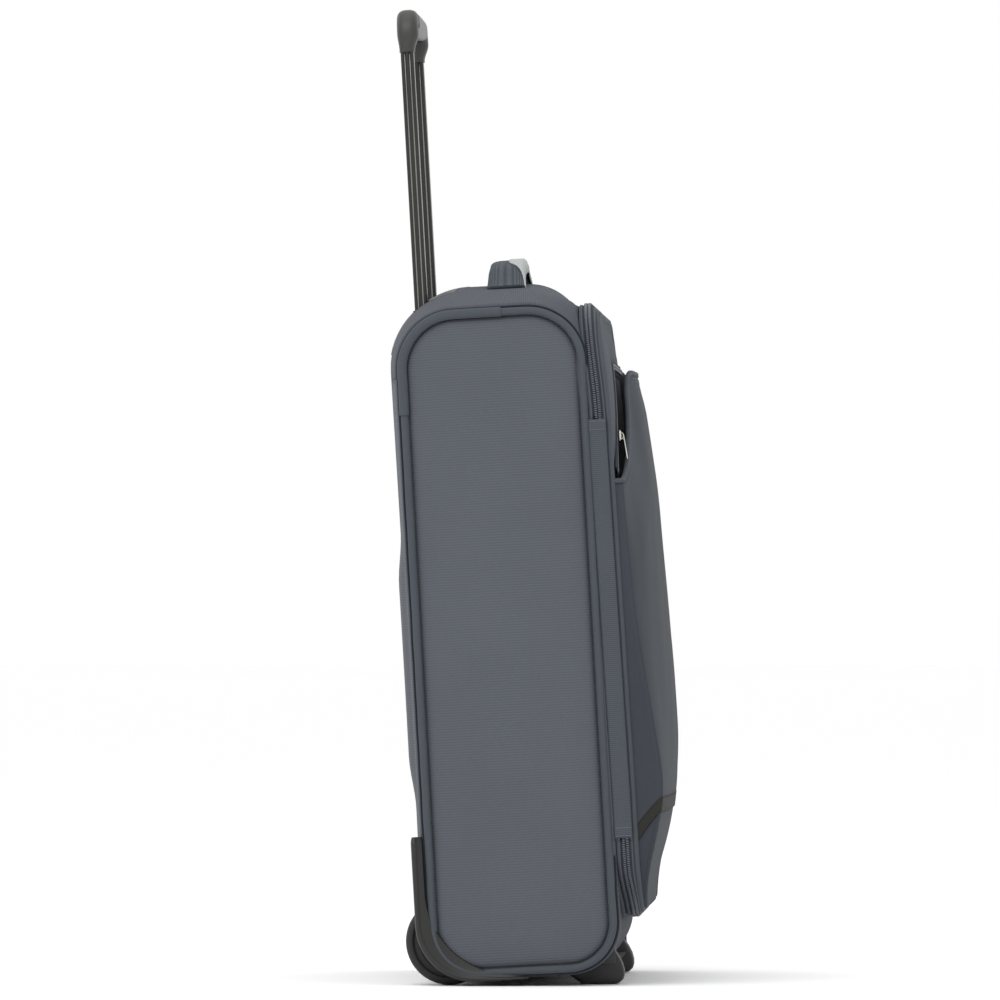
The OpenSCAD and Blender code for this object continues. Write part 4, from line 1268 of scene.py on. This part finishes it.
def lathe(name, x0, half, profile, body, material, replaces, lift=None, count=96):
    """Revolves (inset, r) points, in millimetres from the rim's faces, and their mirror about the axle.
    lift gives how far a point at some angle and radius moves outwards."""
    face = [(half - inset * MM, r * MM) for inset, r in profile]
    rings = []
    for a in np.linspace(0, 2 * math.pi, count, endpoint=False):
        out = [(x + (lift(a, r) if lift else 0.0), r) for x, r in face]
        out += [(-x, r) for x, r in reversed(out)]
        rings.append([(x0 + x, r * math.cos(a), r * math.sin(a)) for x, r in out])
    obj = new_mesh(name, rings, grid_faces(count, 2 * len(face), loop_rows=True, loop_cols=True))
    weld(obj)
    return finish_piece(obj, body, material, replaces)


def spokes(a, r):
    """Six ribs that stand up from the hub's dish."""
    if not 7 * MM < r < 16.6 * MM:
        return 0.0
    return 2.9 * MM * float(smoothstep((math.cos(a * 6) - 0.55) / 0.25))


def wheel(name):
    """Rubber tread on a ribbed hub."""
    lo, hi = case_box(f"tyre_{name}")
    x0, half, r = (lo[0] + hi[0]) / 2, (hi[0] - lo[0]) / 2, (hi[2] - lo[2]) / 2 / MM
    tread = ((1.6, 20.05), (1.0, 21.5), (0.7, 24.6), (1.5, 25.2), (1.5, 26.4), (0.6, 27.0), (0.2, 28.4),
             (1.4, 30.6), (3.4, r - 0.9), (5.4, r - 0.2), (half / MM - 2, r))
    lathe(f"tread_{name}", x0, half, tread, f"wheel_{name}", TYRE, [f"tyre_{name}"])
    hub = ((2.2, 3.1), (1.2, 3.6), (1.2, 6.4), (2.6, 7.4), (5.2, 8.4), (5.4, 16), (2.4, 17.0), (1.6, 18.4),
           (2.0, 19.9))
    lathe(f"wheel_disc_{name}", x0, half, hub, f"wheel_{name}", HUB, [f"hub_{name}"],
          spokes, 144)


def front_foot(name):
    """Fin with a level sole, a rounded toe and soft edges; its top lies inside the case."""
    lo, hi = (np.array(c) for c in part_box(f"foot_{name}"))
    x_mid, half = (lo[0] + hi[0]) / 2, (hi[0] - lo[0]) / 2
    outline = np.array([(-46, -27), (-40, -32.5), (-33.5, -37.8), (-31, -38.6), (-24, -38.9), (-16, -39.4),
                        (-9, -39.7), (-4.6, -39.0), (-1.6, -36.6), (-0.3, -33), (-0.2, -29), (-1.4, -24),
                        (-3.6, -19), (-6.6, -14), (-11, -10), (-20, -18), (-30, -22), (-40, -24)]) * MM
    outline[:, 0] += case_box(f"foot_{name}")[1][1]
    inward = unit(outline.mean(0) - outline) * np.where(outline[:, 1:] < -38.5 * MM, 0.35, 1.0)
    rings = []
    for x, inset in ((-1, 3.2), (-0.96, 1.4), (-0.86, 0.4), (-0.7, 0), (-0.3, 0), (-0.24, 0.9),
                     (0.24, 0.9), (0.3, 0), (0.7, 0), (0.86, 0.4), (0.96, 1.4), (1, 3.2)):
        ring = outline + inward * inset * MM
        rings.append(triples(x_mid + x * half, ring[:, 0], ring[:, 1]))
    loft(f"front_foot_{name}", rings, "case_body", SHELL, [f"foot_{name}"])


# ------------------------------------------------------------------ zip sliders and pulls
def slider_piece(name, node, body, axis, out, sunk=0.0):
    """Zip slider: waisted body with a raised bail for the pull. sunk sets it lower on its zip."""
    a, n = unit(np.array(axis, float)), unit(np.array(out, float))
    b = np.cross(a, n)
    centre = node_centre(node) - n * sunk
    turns = np.linspace(0, 2 * math.pi, 32, endpoint=False)
    waist = 1 - 0.26 * smoothstep((0.1 - np.cos(turns)) / 0.9)
    outline = np.outer(5.8 * MM * np.cos(turns), a) + np.outer(4.2 * MM * np.sin(turns) * waist, b)
    rings = [centre + n * level * MM + outline * scale
             for level, scale in ((-1.0, 0.9), (-0.7, 1.0), (0.6, 1.0), (1.1, 0.86))]
    loft(f"{name}_body", rings, body, NICKEL, [node])
    t = np.linspace(0, math.pi, 12)
    path = centre + np.outer((1.0 + 1.6 * np.sin(t)) * MM, n) + np.outer(4.1 * MM * np.cos(t), a)
    around = np.outer(np.sin(t), n) + np.outer(np.cos(t), a)
    bail = sweep(f"{name}_bail", path, around, np.tile(b, (12, 1)), circle_section(0.8 * MM, 8) * [0.8, 1.4],
                 closed=False, caps=True)
    finish_piece(bail, body, NICKEL)


def pull_piece(name, node, body, along, out, length, centre=None):
    """Tapered pull with a thicker rim, lying where the CAD pull lies unless a centre is given."""
    if centre is None:
        centre = node_centre(node)
    a, n = unit(np.array(along, float)), unit(np.array(out, float))
    t = np.linspace(0, 2 * math.pi, 40, endpoint=False)
    c, s = np.cos(t), np.sin(t)
    long = length / 2 * np.sign(c) * np.abs(c) ** 0.8
    wide = 2.5 * MM * (0.72 + 0.28 * (c + 1) / 2) * np.sign(s) * np.abs(s) ** 0.55
    outline = np.outer(long, a) + np.outer(wide, np.cross(a, n))
    rings = [centre + n * level * MM + outline * scale for level, scale in
             ((-0.45, 0.88), (-0.6, 0.97), (0, 1.0), (0.6, 0.97), (0.6, 0.80), (0.3, 0.72), (0.3, 0.0))]
    loft(f"{name}_tab", rings, body, NICKEL, [node])


carry_handle()
for which, which_name in SIDES:
    telescope(f"top_tube_{which_name}", f"upper_tube_{which_name}", "upper_stage")
    telescope(f"mid_tube_{which_name}", f"middle_tube_{which_name}", "middle_stage", highlight_lines=False)
    corner_guard(which, which_name)
    wheel(which_name)
    front_foot(which_name)
    softened(f"wheel_housing_{which_name}", f"wheel_arch_{which_name}", "case_body", SHELL,
             1.0 * MM)
grip()
grip_pad()
bezel = softened("tube_housing", "handle_bezel", "case_body", SHELL, 0.7 * MM)
proud = bezel.modifiers.new("proud", "DISPLACE")
proud.strength = 0.7 * MM
proud.mid_level = 0.0
softened("handle_base", "handle_foot", "case_body", SHELL, 1.0 * MM)
softened("grip_button", "release_button", "grip_button_body", GRIP, 0.6 * MM)
UP, DOWN, OUT = (0, 0, 1), (0, 0, -1), (1, 0, 0)
slider_piece("zip_runner_upper", "main_slider_upper", "zip_slider_upper", UP, OUT)
slider_piece("zip_runner_lower", "main_slider_lower", "zip_slider_lower", DOWN, OUT)
pull_piece("zip_tab_upper", "main_pull_upper", "zip_pull_upper", UP, OUT, 19 * MM)
pull_piece("zip_tab_lower", "main_pull_lower", "zip_pull_lower", DOWN, OUT, 19 * MM)


# ------------------------------------------------------------------ inside of the case
def over_wheels(points):
    """Lifts the lining where it passes over the wheel housings."""
    low, high = points[:, 2].min(), points[:, 2].max()
    near_x = smoothstep((np.abs(points[:, 0]) - HOUSING_LO[0] + 20 * MM) / (17 * MM))
    near_f = smoothstep((HOUSING_HI[1] + 14 * MM - points[:, 1]) / (11 * MM))
    floor = low + (HOUSING_HI[2] + 3 * MM - low) * near_x * near_f
    points[:, 2] = floor + (points[:, 2] - low) * (high - floor) / (high - low)
    return points


def lining_bag():
    """Loose lining sewn as a tray: its back hangs before the handle tubes, its walls run to the opening."""
    walls_lo, walls_hi = case_box("lining_walls")
    front, back, bend = walls_hi[1], case_box("lining_back")[0][1] + 0.6 * MM, 14 * MM
    turns = np.radians(np.linspace(0, 90, 7))[1:]
    wall = np.linspace(front, back + bend, 12)
    wall_f = np.concatenate([wall, back + bend * (1 - np.sin(turns)), [back] * 3])
    depths = np.concatenate([np.zeros(12), bend * (1 - np.cos(turns)), [22 * MM, 32 * MM, 44 * MM]])
    lo, hi = walls_lo[[0, 2]], walls_hi[[0, 2]]
    n_a, n_b = 56, 66
    flat, faces = patch(lo, hi, np.full(4, 34 * MM), n_a, n_b, depths)
    f = np.full(len(flat), back)
    rings = np.repeat(wall_f, 2 * (n_a + n_b))
    f[:len(rings)] = rings
    away = (flat - (lo + hi) / 2) / ((hi - lo) / 2)
    unrolled = flat + away * (f - back)[:, None]
    points = triples(flat[:, 0], f, flat[:, 1])
    slack = smooth_noise(points, 0.09, 31) * 1.4 * MM + smooth_noise(points, 0.03, 32) * 0.35 * MM
    on_back = smoothstep((0.9 - np.abs(away).max(1)) / 0.2)
    points[:, 1] += (slack + 2.0 * MM) * on_back
    sag = smooth_noise(points, 0.07, 33) * 0.9 * MM - 1.6 * MM
    sag *= smoothstep((front - f) / (30 * MM)) * (1 - on_back)
    points[:, [0, 2]] += away * sag[:, None]
    obj = new_mesh("lining_bag", over_wheels(points), faces, unrolled)
    finish_piece(obj, "case_body", LINING, ["lining_back", "lining_walls"],
                 solidify=0.8 * MM)


def packing_strap(side, name):
    """Webbing strap from the lining's side seam to the buckle."""
    lo, hi = case_box("packing_straps")
    width = 24 * MM
    first, last = 24 * MM, hi[0] - 4 * MM
    t = np.linspace(0, 1, 40)
    x = first + (last - first) * t
    f = lo[1] + 4.2 * MM + 1.6 * MM * np.sin(t * 7) * np.sin(math.pi * t)
    line = triples(side * x, f, (lo[2] + hi[2]) / 2 - 3.5 * MM * np.sin(math.pi * t))
    across = np.linspace(-0.5, 0.5, 7) * width
    points = np.stack([line + [0, 0, a] for a in across], 1)
    obj = grid_mesh(f"packing_strap_{name}", points, uv_grid(x, across))
    finish_piece(obj, "case_body", BAND, ["packing_straps"], solidify=1.3 * MM,
                 bevel=0.3 * MM)


def rounded_plate(name, centre, half_x, half_u, thick, corner, material):
    """Moulded plate with a softened rim, facing forward."""
    rings = []
    for level, inset in ((-thick, 0.8 * MM), (-thick + 0.8 * MM, 0), (thick - 0.9 * MM, 0),
                         (thick - 0.2 * MM, 0.5 * MM), (thick, 1.4 * MM), (thick, half_u * 0.96)):
        shrink = min(inset, half_u - 0.2 * MM)
        loop, _ = corner_loop((-half_x + shrink, -half_u + shrink), (half_x - shrink, half_u - shrink),
                              [max(corner - shrink, 0.3 * MM)] * 4, 2.5 * MM)
        loop = loop[np.linspace(0, len(loop) - 1, 48).astype(int)]
        rings.append(centre + triples(loop[:, 0], level, loop[:, 1]))
    loft(name, rings, "case_body", material)


def buckle():
    """Side-release buckle: a socket and a plug with two prongs."""
    lo, hi = case_box("packing_straps")
    middle = np.array([0.0, lo[1] + 4.4 * MM, (lo[2] + hi[2]) / 2])
    for name, x, u, half_x, half_u, thick, corner, material in (
            ("socket", 8, 0, 17, 14, 3.4, 4, SHELL), ("plug", -18, 0, 9.5, 14, 2.8, 3, SHELL),
            ("prong_low", -4, -11.5, 12, 2.6, 2.0, 2, HUB), ("prong_high", -4, 11.5, 12, 2.6, 2.0, 2, HUB)):
        centre = middle + np.array([x, 0, u]) * MM
        rounded_plate(f"buckle_{name}", centre, half_x * MM, half_u * MM, thick * MM, corner * MM, material)


def lid_inside():
    """Lining of the lid with a mesh pocket held by an elastic hem."""
    lo, hi = case_box("lid_lining")
    flat_lo, flat_hi = lo[[0, 2]] + 1.5 * MM, hi[[0, 2]] - 1.5 * MM
    r = LID_R - 4 * MM
    radii = np.full(4, r)
    flat, faces = patch(flat_lo, flat_hi, radii, 56, 66, np.array([0, 3, 8, 15, 24, 34, 46]) * MM)
    d = edge_distance(flat, flat_lo, flat_hi, radii)
    points = triples(flat[:, 0], (lo[1] + hi[1]) / 2, flat[:, 1])
    points[:, 1] -= (1.2 * MM + smooth_noise(points, 0.1, 41) * 0.8 * MM) * smoothstep(d / (40 * MM))
    obj = new_mesh("lid_inner_cloth", points, faces, flat)
    finish_piece(obj, "lid", LINING, ["lid_lining"], solidify=0.8 * MM)
    top_u, border = 300 * MM, 5 * MM
    grid = []
    for t in np.linspace(0, 1, 60):
        first_u = flat_lo[1] + 6 * MM
        u = first_u + (top_u - first_u) * t
        low = max(flat_lo[1] + r - u, 0)
        reach = flat_hi[0] - r + math.sqrt(max(r ** 2 - low ** 2, 0)) - border
        s = np.linspace(-1, 1, 81)
        belly = (1 - np.abs(s) ** 2.4) * math.sin(math.pi * min(t * 0.62 + 0.02, 1))
        gather = 0.7 * MM * np.sin(s * 60) * t ** 3
        grid.append(triples(s * reach, lo[1] - 1.2 * MM - (5.5 * MM * belly + gather + 0.6 * MM), u))
    grid = np.array(grid)
    net = grid_mesh("lid_mesh_pocket", grid, grid[..., [0, 2]])
    finish_piece(net, "lid", MESH_CLOTH, solidify=0.5 * MM)
    edge = grid[-1]
    rise = np.tile([0, 0, 1.0], (len(edge), 1))
    hem = sweep("lid_mesh_hem", edge, rise, np.cross(unit(np.gradient(edge, axis=0)), rise),
                circle_section(1.0, 12) * [4.5 * MM, 1.0 * MM], closed=False, caps=True)
    finish_piece(hem, "lid", BAND)


# ------------------------------------------------------------------ pocket zip
def pocket_zip():
    """Zip above the pocket's mouth: slanted from the left edge, then level to the right."""
    lo, hi = case_box("pocket_zip")
    slope = math.atan2(MOUTH_U - MOUTH_LOW_U, MOUTH_X + POCKET_X)
    offset = 8 * MM
    level_u, bend_x = MOUTH_U + offset, MOUTH_X - offset * math.tan(slope / 2)
    left_x, right_x = lo[0] + 4 * MM, hi[0] - 2 * MM
    left_u = level_u - (bend_x - left_x) * math.tan(slope)
    corners = np.array([(left_x, left_u), (bend_x, level_u), (right_x, level_u)])
    along = arc_length(corners, closed=False)
    at = np.linspace(0, along[-1], 220)
    line = np.stack([np.interp(at, along, corners[:, c]) for c in (0, 1)], 1)
    soft = np.stack([smoothed(line[:, c], 6) for c in (0, 1)], 1)
    soft[:7], soft[-7:] = line[:7], line[-7:]
    centre = opening_warp(triples(soft[:, 0], POCKET_F + 1.6 * MM, soft[:, 1]))
    side = np.cross([0, 1.0, 0], unit(np.gradient(centre, axis=0)))
    across = np.array([-5.2, -4.6, -2.0, -0.4, 0.4, 2.0, 4.6, 5.2]) * MM
    lift = np.array([-1.2, -0.2, 0, 0.3, 0.3, 0, -0.2, -1.2]) * MM
    points = np.stack([centre + side * a + [0, b, 0] for a, b in zip(across, lift)], 1)
    obj = grid_mesh("pocket_zip_tape", points, uv_grid(at, across))
    finish_piece(obj, "lid", TAPE, ["pocket_zip"], solidify=0.6 * MM)
    half = np.array([1.1, 0.5, 0.55]) * MM
    for name, move, start in (("low", -1.1 * MM, 0.0), ("high", 1.1 * MM, 0.8 * MM)):
        row = centre + side * move + [0, 0.9 * MM, 0]
        zip_teeth(f"pocket_zip_teeth_{name}", row, "lid", lambda p: F_WAY, 1.6 * MM, half, start)
    pocket_pull(slope)


def pocket_pull(slope):
    """The pocket zip's slider, and its pull hanging flatter than the CAD pull but from the same pin."""
    ahead = np.array([math.cos(slope), 0, math.sin(slope)])
    slider_piece("pocket_runner", "pocket_slider", "pocket_zip_slider", ahead, F_WAY, sunk=2 * MM)
    cad_tilt, tilt, length = math.radians(20), math.radians(5), 28 * MM

    def hanging(angle):
        return F_WAY * math.sin(angle) - ahead * math.cos(angle)

    pin = node_centre("pocket_pull") - hanging(cad_tilt) * length / 2 - F_WAY * 2 * MM
    pull_piece("pocket_tab", "pocket_pull", "pocket_zip_pull", hanging(tilt),
               ahead * math.sin(tilt) + F_WAY * math.cos(tilt), length, pin + hanging(tilt) * length / 2)


def dress_frame():
    """Gives each CAD node that is still in view the material of its slot."""
    finishes = {"shell_plastic": SHELL, "grip_plastic": GRIP, "grip_insert": GRIP_LIGHT, "tube_paint": TUBE,
                "tyre_rubber": TYRE, "steel": STEEL, "zip_metal": NICKEL, "side_fabric": GUSSET,
                "trim_fabric": BINDING, "lid_fabric": FACE, "band_fabric": BAND, "lining_fabric": LINING,
                "zip_tape": TAPE}
    for row in frame["record"]["subparts"]:
        material = BOARD if row["node"] == "back_board" else finishes[row["material_slot"]]
        for slot in frame["nodes"][row["node"]].material_slots:
            slot.material = material


lining_bag()
for which, which_name in SIDES:
    packing_strap(which, which_name)
buckle()
lid_inside()
pocket_zip()
dress_frame()


# ------------------------------------------------------------------ studio
def studio():
    """White floor and world, and four soft lamps round the case."""
    far = 400.0
    ground = [(-far, -far, 0), (far, -far, 0), (far, far, 0), (-far, far, 0)]
    floor = new_mesh("floor", ground, [(0, 1, 2, 3)], world=True)
    g = Graph("floor_paper", roughness=0.9, specular=0.1)
    grain = g.math("MULTIPLY", g.noise(g.place(), 30.0, 5.0), 0.3)
    g.put("Base Color", g.mix(grain, srgb((255, 255, 255)), srgb((252, 252, 252))))
    floor.data.materials.append(g.material)

    world = bpy.data.worlds.new("studio")
    bpy.context.scene.world = world
    world.use_nodes = True
    background = world.node_tree.nodes["Background"]
    background.inputs["Color"].default_value = (1.0, 1.0, 1.0, 1.0)
    background.inputs["Strength"].default_value = 1.0

    centre = np.mean(cad_box, axis=0)
    for name, offset, size, watts in (
            ("key", (-1.7, 0.5, 1.7), 1.4, 17), ("rear", (0.8, 2.8, 1.6), 2.2, 7),
            ("front", (1.4, -2.6, 2.4), 2.2, 1), ("top", (-0.3, 0.3, 3.2), 2.2, 15)):
        data = bpy.data.lights.new(name, "AREA")
        data.size = size
        data.energy = watts
        lamp = link(name, data)
        lamp.location = centre + np.array(offset)
        aim(lamp, Vector(centre) - lamp.location)


def aim(obj, direction):
    """Turns a lamp or a camera to look along a direction."""
    obj.rotation_mode = "QUATERNION"
    obj.rotation_quaternion = direction.to_track_quat("-Z", "Y")


def camera():
    """Long lens at the left side, turned slightly to the back, a little below the case's middle."""
    distance, yaw, pitch = 8.701, math.radians(2.13), math.radians(0.554)
    aim_x, aim_y, height = case_box("corner_guard_left")[0][0], 0.0213, 0.281
    data = bpy.data.cameras.new("camera")
    data.lens = 417.1
    data.sensor_width = 36.0
    data.clip_end = 60
    cam = link("camera", data)
    cam.location = (aim_x - distance * math.cos(yaw), aim_y - distance * math.sin(yaw), height)
    aim(cam, Vector((math.cos(yaw) * math.cos(pitch), math.sin(yaw) * math.cos(pitch), math.sin(pitch))))
    bpy.context.scene.camera = cam


studio()
camera()
bpy.context.scene.view_settings.view_transform = "Standard"
